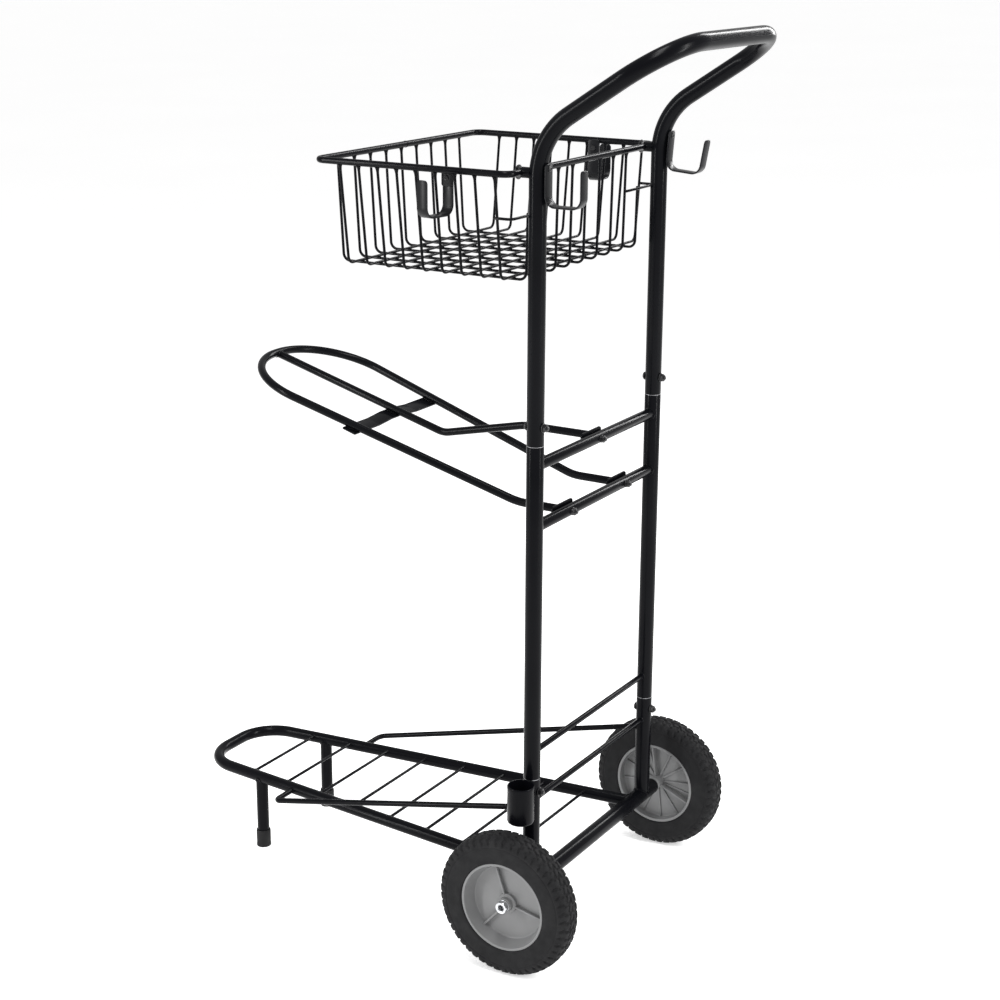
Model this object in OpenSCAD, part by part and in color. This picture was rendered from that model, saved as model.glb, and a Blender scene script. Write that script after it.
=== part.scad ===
// Two-wheeled tack trolley: a bolted tube frame with a hairpin base tray, a saddle rack,
// a wire basket, strap hooks and a whip cup. Millimetres. The cart is drawn upright about
// its axle, with the tray pointing along -Y, and then leans back onto its wheels and feet.

/* [Stance] */
// Backward lean of the posts when the wheels and feet stand on the floor, degrees
lean = 1.5; // [0:0.25:4]
// Distance between the centres of the two posts
post_spacing = 366; // [320:2:440]
// Height of the lower frame joint above the top of the wheels
joint_above_wheels = 64; // [62:1:100]
// Length of the uprights between the lower and the upper frame joint
upright_length = 505; // [430:5:640]

/* [Posts and handle] */
// Outside diameter of the posts and the handle
post_d = 25; // [22:0.5:28]
// Wall of the posts and the handle
post_wall = 1.5; // [1.2:0.1:2]
// Length of the swaged end that slips into the next tube
swage_length = 38; // [34:1:60]
// Radial clearance of a swaged end in its tube
swage_gap = 0.15; // [0.1:0.05:0.4]
// Length of the straight handle leg above the upper joint, up to where the bend lines meet
handle_leg = 427; // [400:1:500]
// How far the grip reaches behind the posts
handle_reach = 195; // [170:1:240]
// Rise from the top of the handle legs to the grip
handle_rise = 126; // [90:1:160]
// Bend radius where the handle leaves the vertical
handle_lower_bend = 100; // [60:1:120]
// Bend radius at the two ends of the grip
handle_grip_bend = 88; // [50:1:100]

/* [Cross members] */
// Diameter of the two cross tubes that carry the saddle rack
cross_tube_d = 17; // [14:0.5:20]
// Wall of the cross tubes
cross_tube_wall = 1.5; // [1:0.1:2]
// Height of the lower cross tube above the lower joint
rack_tube_h = 385; // [340:5:400]
// Distance between the two cross tubes
cross_tube_gap = 90; // [70:1:110]
// Diameter of the cross rods and the side guards
rod_d = 9; // [7:0.5:12]
// Distance from the lower joint down to the base cross rod
base_rod_drop = 38; // [34:1:60]
// Height of the frame cross rod above the lower joint
frame_rod_h = 39; // [25:1:80]

/* [Base tray] */
// How much wider the axle tube is than the posts that stand on it
axle_tube_extra = 0.4; // [0.2:0.1:3]
// Wall of the axle tube
axle_tube_wall = 2; // [1.5:0.1:2.5]
// Distance from the axle to the front of the tray loop
tray_reach = 704; // [620:2:860]
// Half width of the tray loop at the axle
tray_rear_half = 149; // [130:1:165]
// Half width of the tray loop at its front
tray_front_half = 79; // [76:1:120]
// Bend radius of the tray loop
tray_bend = 65; // [50:1:68]
// Diameter of the tray loop tube
tray_tube_d = 19; // [16:0.5:22]
// Wall of the tray loop tube and the legs
tray_tube_wall = 1.5; // [1.2:0.1:2]
// Diameter of the thin rods across the tray
tray_rod_d = 5; // [4:0.5:6]
// Number of thin rods across the tray
tray_rod_count = 8; // [4:1:9]
// Distance from the axle to the first thin rod
tray_rod_first = 81; // [60:1:100]
// Distance from the front of the tray loop back to the legs
leg_setback = 130; // [120:1:220]
// Diameter of the legs
leg_d = 20; // [18:0.5:22]
// Outside diameter of the rubber feet
foot_d = 24; // [23:0.5:28]
// Height of the rubber feet
foot_h = 30; // [20:1:40]
// Distance from the front of the tray loop back to the side guards
guard_setback = 204; // [160:1:280]
// Half width of the side guards at their front corner
guard_half = 153; // [140:1:170]
// Distance from the lower joint down to where the side guards meet the posts
guard_drop = 52; // [48:1:70]

/* [Saddle rack] */
// Outside diameter of the saddle rails
rack_tube_d = 12.7; // [12:0.1:16]
// Wall of the saddle rails and the ridge bar
rack_tube_wall = 1.2; // [1:0.1:1.5]
// Outside diameter of the ridge bar
ridge_d = 12; // [10:0.5:12]
// Half distance between the rails at the cross tube
rack_rear_half = 85; // [75:1:110]
// Half distance between the rails at the nose
rack_front_half = 125; // [118:1:140]
// Distance from the posts to the nose
rack_reach = 585; // [500:5:700]
// Height of the nose above the lower cross tube
rack_rise = 151; // [100:1:170]
// Distance from the posts to the bend of the rails
rack_bend_reach = 85; // [70:1:110]
// Bend radius at the nose
rack_nose_bend = 112; // [90:1:112]
// Bend radius at the rear of the rails
rack_rear_bend = 92; // [60:1:110]
// Distance from the posts to the lowest point of the ridge bar
ridge_dip_reach = 268; // [240:1:300]
// Height of the ridge bar's dip above the lower cross tube
ridge_dip_h = 61; // [50:1:75]
// Distance from the posts to the front of the ridge bar's level end
ridge_level_reach = 122; // [100:1:140]
// Distance from the posts to the flat strap below the rails
strap_reach = 362; // [320:1:440]
// Width of the flat strap
strap_w = 25; // [20:1:30]
// Thickness of the flat strap
strap_t = 2.5; // [2:0.5:4]
// Length, height and thickness of the end plates on the rack tubes
plate_l = 60; // [40:1:80]
plate_h = 22; // [20:1:26]
plate_t = 3; // [2:0.5:4]

/* [Basket] */
// How far the basket rim reaches out past the centres of the posts
basket_overhang = 35; // [26:1:60]
// Depth of the basket from front to rear
basket_depth = 317; // [260:1:380]
// Distance from the posts to the rear of the basket rim
basket_gap = 25; // [22:1:35]
// Height of the basket rim above the upper joint
basket_rim_h = 378; // [340:1:380]
// Height of the rim above the basket floor
basket_h = 150; // [120:1:190]
// Diameter of the rim rod
rim_d = 9.5; // [8:0.5:12]
// Diameter of the basket wires
wire_d = 4; // [3:0.5:5]
// Corner radius of the rim
rim_bend = 15; // [12:1:30]
// Bend radius where a wire turns from wall to floor
wire_bend = 11; // [8:1:16]
// How far the side walls lean in at the floor
side_taper = 18; // [0:1:24]
// How far the front wall leans in at the floor
front_taper = 8; // [0:1:16]
// How far the rear wall leans in at the floor
rear_taper = 3; // [0:1:10]
// Number of wires that run from front to rear on each side of the middle one
long_wires_each_side = 4; // [3:1:4]
// Spacing of the wires that run from front to rear
long_wire_pitch = 41; // [36:1:44]
// Number of wires that run from side to side
cross_wire_count = 9; // [6:1:9]
// Height of the corner wires above the basket floor
corner_wire_h = 90; // [70:1:110]

/* [Hooks and cup] */
// Width of the hook strap
hook_w = 18; // [14:1:24]
// Thickness of the hook strap
hook_t = 2.5; // [2:0.5:3]
// Distance between the leg and the tip of a hook
hook_depth = 54; // [44:1:64]
// Height of the leg of a hook on a post
hook_leg_h = 57; // [54:1:70]
// Height of the leg of a hook on the basket rim
rim_hook_leg_h = 63; // [54:1:70]
// Height of the tip of a hook
hook_tip_h = 51; // [30:1:60]
// Bend radius of a hook
hook_bend = 14; // [8:1:18]
// Height of the top of the left post's hook above the basket rim
left_hook_rise = 14; // [10:1:20]
// Height of the top of the right post's hook above the basket rim
right_hook_rise = 26; // [16:1:30]
// Backward tilt of the right post's hook, degrees
right_hook_tilt = 4.5; // [0:0.5:8]
// Number of the gap between the cross wires, counted from the rear, that the rim hooks hang in
hook_rim_bay = 3; // [2:1:5]
// Forward turn of the hooks on the basket rim, degrees
hook_rim_turn = 8; // [0:1:12]
// Diameter of the screws that hold the hooks
screw_d = 4; // [3:0.5:5]
// Outside diameter of the whip cup
cup_d = 40; // [36:1:44]
// Height of the whip cup
cup_h = 59; // [50:1:80]
// Wall of the whip cup
cup_wall = 1.6; // [1.2:0.1:2.5]

/* [Wheels] */
// Diameter of the wheels
wheel_d = 220; // [190:2:240]
// Width of the tyres
tyre_w = 44; // [36:1:50]
// Outside diameter of the wheel hubs
hub_d = 137; // [110:1:145]
// How far the outer end of a hub's boss lies inside the tyre's outer face
boss_inset = 9.5; // [0:0.5:14]
// Distance from a post's centre to the inner face of its tyre
wheel_offset = 44; // [38:1:50]
// Diameter of the axle rod
axle_d = 10; // [8:0.5:12]
// Radial running clearance of the axle rod in the wheel bushes
axle_gap = 0.05; // [0.02:0.01:0.1]
// Axial play of a wheel on each side
wheel_play = 0.5; // [0.4:0.1:1]
// Diameter of the wheel bushes
bush_d = 15; // [14.5:0.5:18]

/* [Fasteners] */
// Thread diameter of the frame and rack bolts
bolt_d = 6; // [5:0.5:8]
// Thread diameter of the bolts that hold the basket
basket_bolt_d = 5; // [4:0.5:6]
// Diameter of the domed heads of the basket bolts
basket_head_d = 20; // [14:1:24]
// Diameter of the spacers between the basket rim and the posts
basket_spacer_d = 15; // [13:0.5:18]
// Clearance on the diameter of a bolt hole
bolt_gap = 0.4; // [0.2:0.1:0.6]
// Distance from the upper joint to its bolt
upper_bolt_h = 27; // [18:1:28]
// Distance from the lower joint down to its bolt
lower_bolt_h = 20; // [16:1:28]

/* [Hidden] */
$fn = 48;
POST = [0.09, 0.09, 0.10];
GREY = [0.52, 0.52, 0.53];
RUBBER = [0.05, 0.05, 0.05];
ZINC = [0.75, 0.76, 0.78];
SIDES = [-1, 1];
LEFT = 1;
RIGHT = -1;

// Depth by which a welded end sinks into the surface that it meets
weld = 0.03;
// Clearance of tubes that only pass through or plug into each other
slip = 0.1;
// Share of the diameter by which a bend stands proud of its straight ends, inside and out, and
// how far those ends sink into it
bend_swell = 0.0062;
bend_sink = 0.3;

post_r = post_d / 2;
post_x = post_spacing / 2;
wheel_r = wheel_d / 2;
axle_tube_d = post_d + axle_tube_extra;
leg_reach = tray_reach - leg_setback;
guard_reach = tray_reach - guard_setback;
basket_half = post_x + basket_overhang;
lower_joint_h = wheel_r + joint_above_wheels;
base_rod_h = lower_joint_h - base_rod_drop;
guard_post_h = lower_joint_h - guard_drop;
upper_joint_h = lower_joint_h + upright_length;
rack_h = lower_joint_h + rack_tube_h;
ridge_h = rack_h + cross_tube_gap;
frame_rod_z = lower_joint_h + frame_rod_h;
handle_top = upper_joint_h + handle_leg;
grip_z = handle_top + handle_rise;
rim_z = upper_joint_h + basket_rim_h;
rim_rear = -basket_gap;
rim_front = rim_rear - basket_depth;
floor_z = rim_z - basket_h;

// Nut and bolt-head sizes that follow the thread
nut_flats = bolt_d * 10 / 6;
nut_h = bolt_d * 5 / 6;
head_d = bolt_d * 2;
head_h = bolt_d * 0.6;

// The wheel's stack along the axle, from the middle of the cart outwards
tyre_in = post_x + wheel_offset;
tyre_out = tyre_in + tyre_w;
plug_flange = 3;
axle_tube_half = tyre_in - 8;
axle_washer_t = 1.2;
boss_in = axle_tube_half + plug_flange + axle_washer_t + wheel_play;
boss_out = tyre_out - boss_inset;
washer_out = boss_out + wheel_play;
axle_nut_flats = axle_d * 1.7;
axle_nut_h = axle_d * 0.8;
axle_nut_in = washer_out + axle_washer_t;
axle_half = axle_nut_in + axle_nut_h - 1.5;
washer_d = axle_d * 1.8;

// The cart's reach to the front and rear after leaning, which centres it on the origin
front_reach = tray_reach * cos(lean) + tray_tube_d / 2;
rear_reach = handle_reach * cos(lean) + grip_z * sin(lean) + post_r;
shift_y = (front_reach - rear_reach) / 2;

// Tray rails taper to the front; the nose plane of the rack rises to the front
function rail_x(reach) = tray_rear_half + (tray_front_half - tray_rear_half) * reach / tray_reach;
function rack_share(reach) = (reach - rack_bend_reach) / (rack_reach - rack_bend_reach);
function rack_x(reach) = rack_rear_half + (rack_front_half - rack_rear_half) * rack_share(reach);
function rack_z(reach) = rack_h + rack_rise * rack_share(reach);
rack_angle = atan2(rack_rise, rack_reach - rack_bend_reach);
rack_end = cross_tube_d / 2 + plate_t;
ridge_nose_z = rack_z(rack_reach) - 2;
ridge_dip_z = rack_h + ridge_dip_h;
ridge_level_z = ridge_h + 3;
function ridge_z(reach) = ridge_dip_z
    + (ridge_nose_z - ridge_dip_z) * (reach - ridge_dip_reach) / (rack_reach - ridge_dip_reach);

// Height of the floor, measured in the upright frame, below a point that is reach ahead of the axle
function ground(reach) = -(reach * sin(lean) + wheel_r) / cos(lean);

function unit(v) = v / norm(v);
function turn(a, b, c) = acos(unit(b - a) * unit(c - b));
function setback(points, bends, i) = i == 0 || i == len(points) - 1 ? 0
    : bends[i - 1] * tan(turn(points[i - 1], points[i], points[i + 1]) / 2);

tray_path = [
    [tray_rear_half, 0, 0],
    [tray_front_half, -tray_reach, 0],
    [-tray_front_half, -tray_reach, 0],
    [-tray_rear_half, 0, 0]
];
rack_path = [
    [rack_rear_half, -rack_end, rack_h],
    [rack_rear_half, -rack_bend_reach, rack_h],
    [rack_front_half, -rack_reach, rack_z(rack_reach)],
    [-rack_front_half, -rack_reach, rack_z(rack_reach)],
    [-rack_rear_half, -rack_bend_reach, rack_h],
    [-rack_rear_half, -rack_end, rack_h]
];
rack_bends = [rack_rear_bend, rack_nose_bend, rack_nose_bend, rack_rear_bend];

// ---- building blocks ----

// Stands the upright drawing on its wheels and feet
module stand() {
    translate([0, shift_y, wheel_r]) rotate([-lean, 0, 0]) children();
}

module section(d, wall) {
    difference() {
        circle(d = d);
        if (wall > 0) circle(d = d - 2 * wall);
    }
}

module stick(a, b, d, wall = 0) {
    v = b - a;
    translate(a) rotate([0, acos(v[2] / norm(v)), atan2(v[1], v[0])])
        linear_extrude(norm(v)) section(d, wall);
}

module elbow(a, b, c, bend, d, wall) {
    u = unit(b - a);
    v = unit(c - b);
    t = turn(a, b, c);
    n = unit(v - u * cos(t));
    p = b - u * bend * tan(t / 2) + n * bend;
    w = cross(-n, u);
    multmatrix([
        [-n[0], u[0], w[0], p[0]],
        [-n[1], u[1], w[1], p[1]],
        [-n[2], u[2], w[2], p[2]],
        [0, 0, 0, 1]
    ]) rotate_extrude(angle = t) translate([bend, 0]) section(d, wall);
}

// A tube or rod that runs straight between points and is bent round each inner one. The bends
// are a hair thicker than the straight lengths, whose ends sink into them
module bent(points, bends, d, wall = 0) {
    last = len(points) - 1;
    for (i = [0 : last - 1]) {
        u = unit(points[i + 1] - points[i]);
        start = i == 0 ? 0 : setback(points, bends, i) - bend_sink;
        end = i == last - 1 ? 0 : setback(points, bends, i + 1) - bend_sink;
        stick(points[i] + u * start, points[i + 1] - u * end, d, wall);
    }
    for (i = [1 : 1 : last - 1])
        elbow(points[i - 1], points[i], points[i + 1], bends[i - 1], d * (1 + 2 * bend_swell),
            wall > 0 ? wall + 2 * bend_swell * d : 0);
}

module along_x(x, y, z, d, length) {
    translate([x, y, z]) rotate([0, 90, 0]) cylinder(d = d, h = length);
}

module along_y(x, y, z, d, length) {
    translate([x, y, z]) rotate([-90, 0, 0]) cylinder(d = d, h = length);
}

// Solid outlines of the tubes that others are coped against
module post_outline(side) {
    translate([side * post_x, 0, -wheel_r]) cylinder(d = post_d, h = wheel_r + handle_top);
}

module axle_outline() {
    along_x(-axle_tube_half, 0, 0, axle_tube_d, 2 * axle_tube_half);
}

module tray_outline() {
    bent(tray_path, [tray_bend, tray_bend], tray_tube_d);
}

module nut(x, y, z, flats, h, hole) {
    translate([x, y, z]) rotate([-90, 0, 0]) difference() {
        cylinder(d = flats / cos(30), h = h, $fn = 6);
        translate([0, 0, -1]) cylinder(d = hole, h = h + 2);
    }
}

// ---- base ----

module axle_tube() {
    color(POST) stand() rotate([0, 90, 0]) translate([0, 0, -axle_tube_half])
        linear_extrude(2 * axle_tube_half) section(axle_tube_d, axle_tube_wall);
}

// Flanged plugs that close the axle tube and centre the axle rod in it
module axle_plugs() {
    plug_l = 24;
    color(RUBBER) stand() for (s = SIDES) mirror([s == LEFT ? 0 : 1, 0, 0])
        translate([axle_tube_half, 0, 0]) rotate([0, 90, 0]) difference() {
            union() {
                translate([0, 0, -plug_l]) cylinder(d = axle_tube_d - 2 * axle_tube_wall - 2 * slip, h = plug_l + 1);
                cylinder(d = axle_tube_d - 1, h = plug_flange);
            }
            translate([0, 0, -plug_l - 1]) cylinder(d = axle_d + 2 * slip, h = plug_l + plug_flange + 2);
        }
}

module base_post(side) {
    color(POST) stand() difference() {
        translate([side * post_x, 0, 0]) linear_extrude(lower_joint_h) section(post_d, post_wall);
        axle_outline();
        along_y(side * post_x, -post_d, lower_joint_h - lower_bolt_h, bolt_d + bolt_gap, 2 * post_d);
    }
}

module base_post_left() {
    base_post(LEFT);
}

module base_post_right() {
    base_post(RIGHT);
}

// A rod across the cart, coped to both posts
module cross_rod(z) {
    color(POST) stand() difference() {
        along_x(-post_x, 0, z, rod_d, post_spacing);
        for (s = SIDES) post_outline(s);
    }
}

module base_cross_rod() {
    cross_rod(base_rod_h);
}

module frame_cross_rod() {
    cross_rod(frame_rod_z);
}

module tray_loop() {
    color(POST) stand() difference() {
        bent(tray_path, [tray_bend, tray_bend], tray_tube_d, tray_tube_wall);
        axle_outline();
    }
}

// Thin rods between the rails, near the top of the tube
module tray_rods() {
    last_rod = leg_reach + 20;
    pitch = (last_rod - tray_rod_first) / (tray_rod_count - 1);
    color(POST) stand() difference() {
        for (i = [0 : tray_rod_count - 1]) {
            reach = tray_rod_first + i * pitch;
            along_x(-rail_x(reach), -reach, 4, tray_rod_d, 2 * rail_x(reach));
        }
        tray_outline();
    }
}

// A rod that leaves the rail sideways, turns back and rises to the post
module side_guard(side) {
    guard_bend = 12;
    color(POST) stand() difference() {
        bent([
            [side * rail_x(guard_reach), -guard_reach, 0],
            [side * guard_half, -guard_reach, 0],
            [side * (post_x - 6), -6, guard_post_h]
        ], [guard_bend], rod_d);
        tray_outline();
        post_outline(side);
    }
}

module side_guard_left() {
    side_guard(LEFT);
}

module side_guard_right() {
    side_guard(RIGHT);
}

foot_floor_t = 4;

module leg(side) {
    leg_bottom = ground(leg_reach) + foot_floor_t;
    leg_top = -4;
    color(POST) stand() difference() {
        translate([side * rail_x(leg_reach), -leg_reach, leg_bottom])
            linear_extrude(leg_top - leg_bottom) section(leg_d, tray_tube_wall);
        tray_outline();
    }
}

module leg_left() {
    leg(LEFT);
}

module leg_right() {
    leg(RIGHT);
}

// A rubber cap on the leg, with its sole cut level with the floor
module foot_cap(side) {
    sole = ground(leg_reach);
    color(RUBBER) difference() {
        stand() translate([side * rail_x(leg_reach), -leg_reach, sole]) difference() {
            translate([0, 0, -2]) cylinder(d = foot_d, h = foot_h + 2);
            translate([0, 0, foot_floor_t]) cylinder(d = leg_d, h = foot_h);
        }
        translate([-tyre_out, -2 * tray_reach, -10]) cube([2 * tyre_out, 2 * tray_reach, 10]);
    }
}

module foot_cap_left() {
    foot_cap(LEFT);
}

module foot_cap_right() {
    foot_cap(RIGHT);
}

// An open cup on the outer side of the left base post, with a drain spout
module whip_cup() {
    cup_x = post_x + post_r + cup_d / 2 - 0.5;
    cup_floor = 2.5;
    spout_d = 9;
    drain_d = 5;
    spout_h = 5;
    color(POST) stand() difference() {
        translate([cup_x, 0, lower_joint_h - cup_h]) difference() {
            union() {
                cylinder(d = cup_d, h = cup_h);
                translate([0, 0, -spout_h]) cylinder(d = spout_d, h = spout_h + 1);
            }
            translate([0, 0, cup_floor]) cylinder(d = cup_d - 2 * cup_wall, h = cup_h);
            translate([0, 0, -spout_h - 1]) cylinder(d = drain_d, h = cup_h);
        }
        post_outline(LEFT);
    }
}

// ---- uprights and handle ----

// A post tube with a reduced end below and above, each drilled for its joint bolt
module upright(side) {
    spigot_r = post_r - post_wall - swage_gap;
    spigot_bore_r = spigot_r - post_wall;
    color(POST) stand() translate([side * post_x, 0, 0]) difference() {
        rotate_extrude() polygon([
            [spigot_bore_r, lower_joint_h - swage_length],
            [spigot_r, lower_joint_h - swage_length],
            [spigot_r, lower_joint_h],
            [post_r, lower_joint_h],
            [post_r, upper_joint_h],
            [spigot_r, upper_joint_h],
            [spigot_r, upper_joint_h + swage_length],
            [spigot_bore_r, upper_joint_h + swage_length]
        ]);
        for (z = [lower_joint_h - lower_bolt_h, upper_joint_h + upper_bolt_h])
            along_y(0, -post_d, z, bolt_d + bolt_gap, 2 * post_d);
    }
}

module upright_left() {
    upright(LEFT);
}

module upright_right() {
    upright(RIGHT);
}

// A tube across the uprights, with clearance holes for the rack's studs
module cross_tube(z, stud_xs) {
    color(POST) stand() difference() {
        translate([-post_x, 0, z]) rotate([0, 90, 0])
            linear_extrude(post_spacing) section(cross_tube_d, cross_tube_wall);
        for (s = SIDES) post_outline(s);
        for (x = stud_xs) along_y(x, -cross_tube_d, z, bolt_d + bolt_gap, 2 * cross_tube_d);
    }
}

module upper_cross_tube() {
    cross_tube(ridge_h, [0]);
}

module lower_cross_tube() {
    cross_tube(rack_h, [-rack_rear_half, rack_rear_half]);
}

module handle_tube() {
    color(POST) stand() difference() {
        bent([
            [post_x, 0, upper_joint_h],
            [post_x, 0, handle_top],
            [post_x, handle_reach, grip_z],
            [-post_x, handle_reach, grip_z],
            [-post_x, 0, handle_top],
            [-post_x, 0, upper_joint_h]
        ], [handle_lower_bend, handle_grip_bend, handle_grip_bend, handle_lower_bend],
        post_d, post_wall);
        for (s = SIDES) {
            along_y(s * post_x, -post_d, upper_joint_h + upper_bolt_h, bolt_d + bolt_gap, 2 * post_d);
            along_y(s * post_x, -post_d, rim_z, rivet_nut_d + 2 * weld, post_d);
            at_post_hook(s) screw_shank(2 * weld);
        }
    }
}

// Where the four joint bolts cross the posts
JOINT_SPOTS = [for (s = SIDES)
    for (z = [lower_joint_h - lower_bolt_h, upper_joint_h + upper_bolt_h]) [s * post_x, z]];
washer_t = 1.2;

// Button-head bolts through the swaged joints, heads to the front
module joint_bolts() {
    shank = post_d + 2 * washer_t + nut_h + 2.5;
    color(POST) stand() for (p = JOINT_SPOTS) {
        along_y(p[0], -post_r - washer_t, p[1], bolt_d, shank);
        along_y(p[0], -post_r - washer_t - head_h, p[1], head_d, head_h);
    }
}

module joint_washers() {
    color(POST) stand() for (p = JOINT_SPOTS, y = [-post_r - washer_t, post_r])
        difference() {
            along_y(p[0], y, p[1], head_d + 1.5, washer_t);
            along_y(p[0], y - 1, p[1], bolt_d + bolt_gap, washer_t + 2);
        }
}

module joint_nuts() {
    color(POST) stand() for (p = JOINT_SPOTS)
        nut(p[0], post_r + washer_t, p[1], nut_flats, nut_h, bolt_d);
}

// ---- saddle rack ----

module rack_loop() {
    color(POST) stand() bent(rack_path, rack_bends, rack_tube_d, rack_tube_wall);
}

// The bar that lies along the horse's spine: down from the nose, up and level to the cross tube
module rack_ridge_bar() {
    dip_bend = 40;
    level_bend = 120;
    color(POST) stand() difference() {
        bent([
            [0, -rack_reach, ridge_nose_z],
            [0, -ridge_dip_reach, ridge_dip_z],
            [0, -ridge_level_reach, ridge_level_z],
            [0, -rack_end, ridge_level_z]
        ], [dip_bend, level_bend], ridge_d, rack_tube_wall);
        bent(rack_path, rack_bends, rack_tube_d);
    }
}

// A flat bar welded under both rails, joggled up in the middle to the ridge bar
module rack_strap() {
    low = -rack_tube_d / 2 + weld;
    high = (ridge_z(strap_reach) - rack_z(strap_reach)) * cos(rack_angle) - ridge_d / 2 + weld;
    reach_x = rack_x(strap_reach) + 12;
    ramp_out = 52;
    ramp_in = 18;
    outline = [
        [-reach_x, low], [-ramp_out, low], [-ramp_in, high],
        [ramp_in, high], [ramp_out, low], [reach_x, low]
    ];
    color(POST) stand() translate([0, -strap_reach, rack_z(strap_reach)]) rotate([-rack_angle, 0, 0])
        rotate([90, 0, 0]) linear_extrude(strap_w, center = true) polygon(concat(
            outline,
            [for (i = [len(outline) - 1 : -1 : 0]) outline[i] - [0, strap_t]]
        ));
}

// Where the three rack tubes meet the cross tubes
RACK_SPOTS = [[-rack_rear_half, rack_h], [rack_rear_half, rack_h], [0, ridge_h]];

// Flat plates with rounded corners, welded across the ends of the rack tubes
module rack_end_plates() {
    corner = 5;
    color(POST) stand() for (p = RACK_SPOTS) translate([p[0], -rack_end, p[1]]) {
        translate([-plate_l / 2 + corner, 0, -plate_h / 2]) cube([plate_l - 2 * corner, plate_t, plate_h]);
        translate([-plate_l / 2, 0, -plate_h / 2 + corner]) cube([plate_l, plate_t, plate_h - 2 * corner]);
        for (x = SIDES, z = SIDES)
            along_y(x * (plate_l / 2 - corner), 0, z * (plate_h / 2 - corner), 2 * corner, plate_t);
    }
}

// Studs on the end plates that pass back through the cross tubes
module rack_studs() {
    color(POST) stand() for (p = RACK_SPOTS)
        along_y(p[0], -cross_tube_d / 2, p[1], bolt_d, cross_tube_d + nut_h + 3);
}

module rack_nuts() {
    color(POST) stand() for (p = RACK_SPOTS)
        nut(p[0], cross_tube_d / 2 - weld, p[1], nut_flats, nut_h, bolt_d);
}

// ---- basket ----

// Walls lean in towards the floor, so their place depends on the height above the floor
function wall_side_x(h) = basket_half - side_taper * (1 - h / basket_h);
function wall_rear_y(h) = rim_rear - rear_taper * (1 - h / basket_h);
rim_half_depth = basket_depth / 2;
rim_under = basket_h - rim_d / 2 + weld;
// Cross wires lie on the long wires
cross_wire_z = wire_d - weld;

module rim_rod(d) {
    mid_y = rim_rear - rim_half_depth;
    corners = [
        [0, rim_front, rim_z],
        [basket_half, rim_front, rim_z],
        [basket_half, rim_rear, rim_z],
        [-basket_half, rim_rear, rim_z],
        [-basket_half, rim_front, rim_z],
        [0, rim_front, rim_z]
    ];
    bent(corners, [rim_bend, rim_bend, rim_bend, rim_bend], d);
}

module basket_rim() {
    color(POST) stand() difference() {
        rim_rod(rim_d);
        for (s = SIDES) along_y(s * post_x, rim_rear - rim_d, rim_z, basket_bolt_d + bolt_gap, 2 * rim_d);
    }
}

// U-shaped wires from the front rim down, along the floor and up to the rear rim. The outer
// two stop at the corner wires in the rear wall
module basket_long_wires() {
    color(POST) stand() for (i = [-long_wires_each_side : long_wires_each_side]) {
        outer = abs(i) == long_wires_each_side;
        rear_h = outer ? corner_wire_h + wire_d / 2 : rim_under;
        bent([
            [i * long_wire_pitch, rim_front, floor_z + rim_under],
            [i * long_wire_pitch, rim_front + front_taper, floor_z],
            [i * long_wire_pitch, rim_rear - rear_taper, floor_z],
            [i * long_wire_pitch, wall_rear_y(rear_h), floor_z + rear_h]
        ], [wire_bend, wire_bend], wire_d);
    }
}

cross_wire_first = rim_rear - 22;
cross_wire_pitch = (basket_depth - 64) / (cross_wire_count - 1);

module basket_cross_wires() {
    color(POST) stand() for (i = [0 : cross_wire_count - 1]) {
        y = cross_wire_first - i * cross_wire_pitch;
        bent([
            [-basket_half, y, floor_z + rim_under],
            [-basket_half + side_taper, y, floor_z + cross_wire_z],
            [basket_half - side_taper, y, floor_z + cross_wire_z],
            [basket_half, y, floor_z + rim_under]
        ], [wire_bend, wire_bend], wire_d);
    }
}

// L-shaped wires round the outside of the two rear corners, half way up
module basket_corner_wires() {
    corner_bend = 9;
    z = floor_z + corner_wire_h;
    x = wall_side_x(corner_wire_h) + wire_d - weld;
    y = wall_rear_y(corner_wire_h) + wire_d - weld;
    inner_x = (long_wires_each_side - 1) * long_wire_pitch - wire_d / 2;
    color(POST) stand() for (s = SIDES) bent([
        [s * x, cross_wire_first - wire_d / 2, z],
        [s * x, y, z],
        [s * inner_x, y, z]
    ], [corner_bend], wire_d);
}

rivet_nut_d = basket_bolt_d + 2.5;
rivet_nut_l = 11;
basket_head_h = 4;

// Spacers between the rear rim and the fronts of the posts, hollowed at both ends to fit them
module basket_spacers() {
    color(POST) stand() for (s = SIDES) difference() {
        along_y(s * post_x, rim_rear, rim_z, basket_spacer_d, basket_gap);
        translate([s * post_x, 0, rim_z - post_d]) cylinder(r = bend_post_r, h = 2 * post_d);
        along_x(s * post_x - basket_spacer_d, rim_rear, rim_z, rim_d, 2 * basket_spacer_d);
        along_y(s * post_x, rim_rear - 1, rim_z, basket_bolt_d + bolt_gap, basket_gap + 2);
    }
}

// Bolts with broad domed heads inside the basket, through the rim and into the posts
module basket_bolts() {
    seat = rim_rear - rim_d / 2 + 0.4;
    dome_r = basket_head_d / 2;
    color(POST) stand() for (s = SIDES) {
        along_y(s * post_x, seat, rim_z, basket_bolt_d - 2 * weld, -post_r + rivet_nut_l - seat);
        difference() {
            translate([s * post_x, seat, rim_z]) rotate([90, 0, 0]) rotate_extrude() polygon([
                [0, 0], [dome_r, 0], [dome_r, 1.2], [dome_r * 0.8, basket_head_h * 0.7],
                [dome_r * 0.5, basket_head_h], [0, basket_head_h]
            ]);
            along_x(s * post_x - basket_head_d, rim_rear, rim_z, rim_d, 2 * basket_head_d);
        }
    }
}

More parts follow.
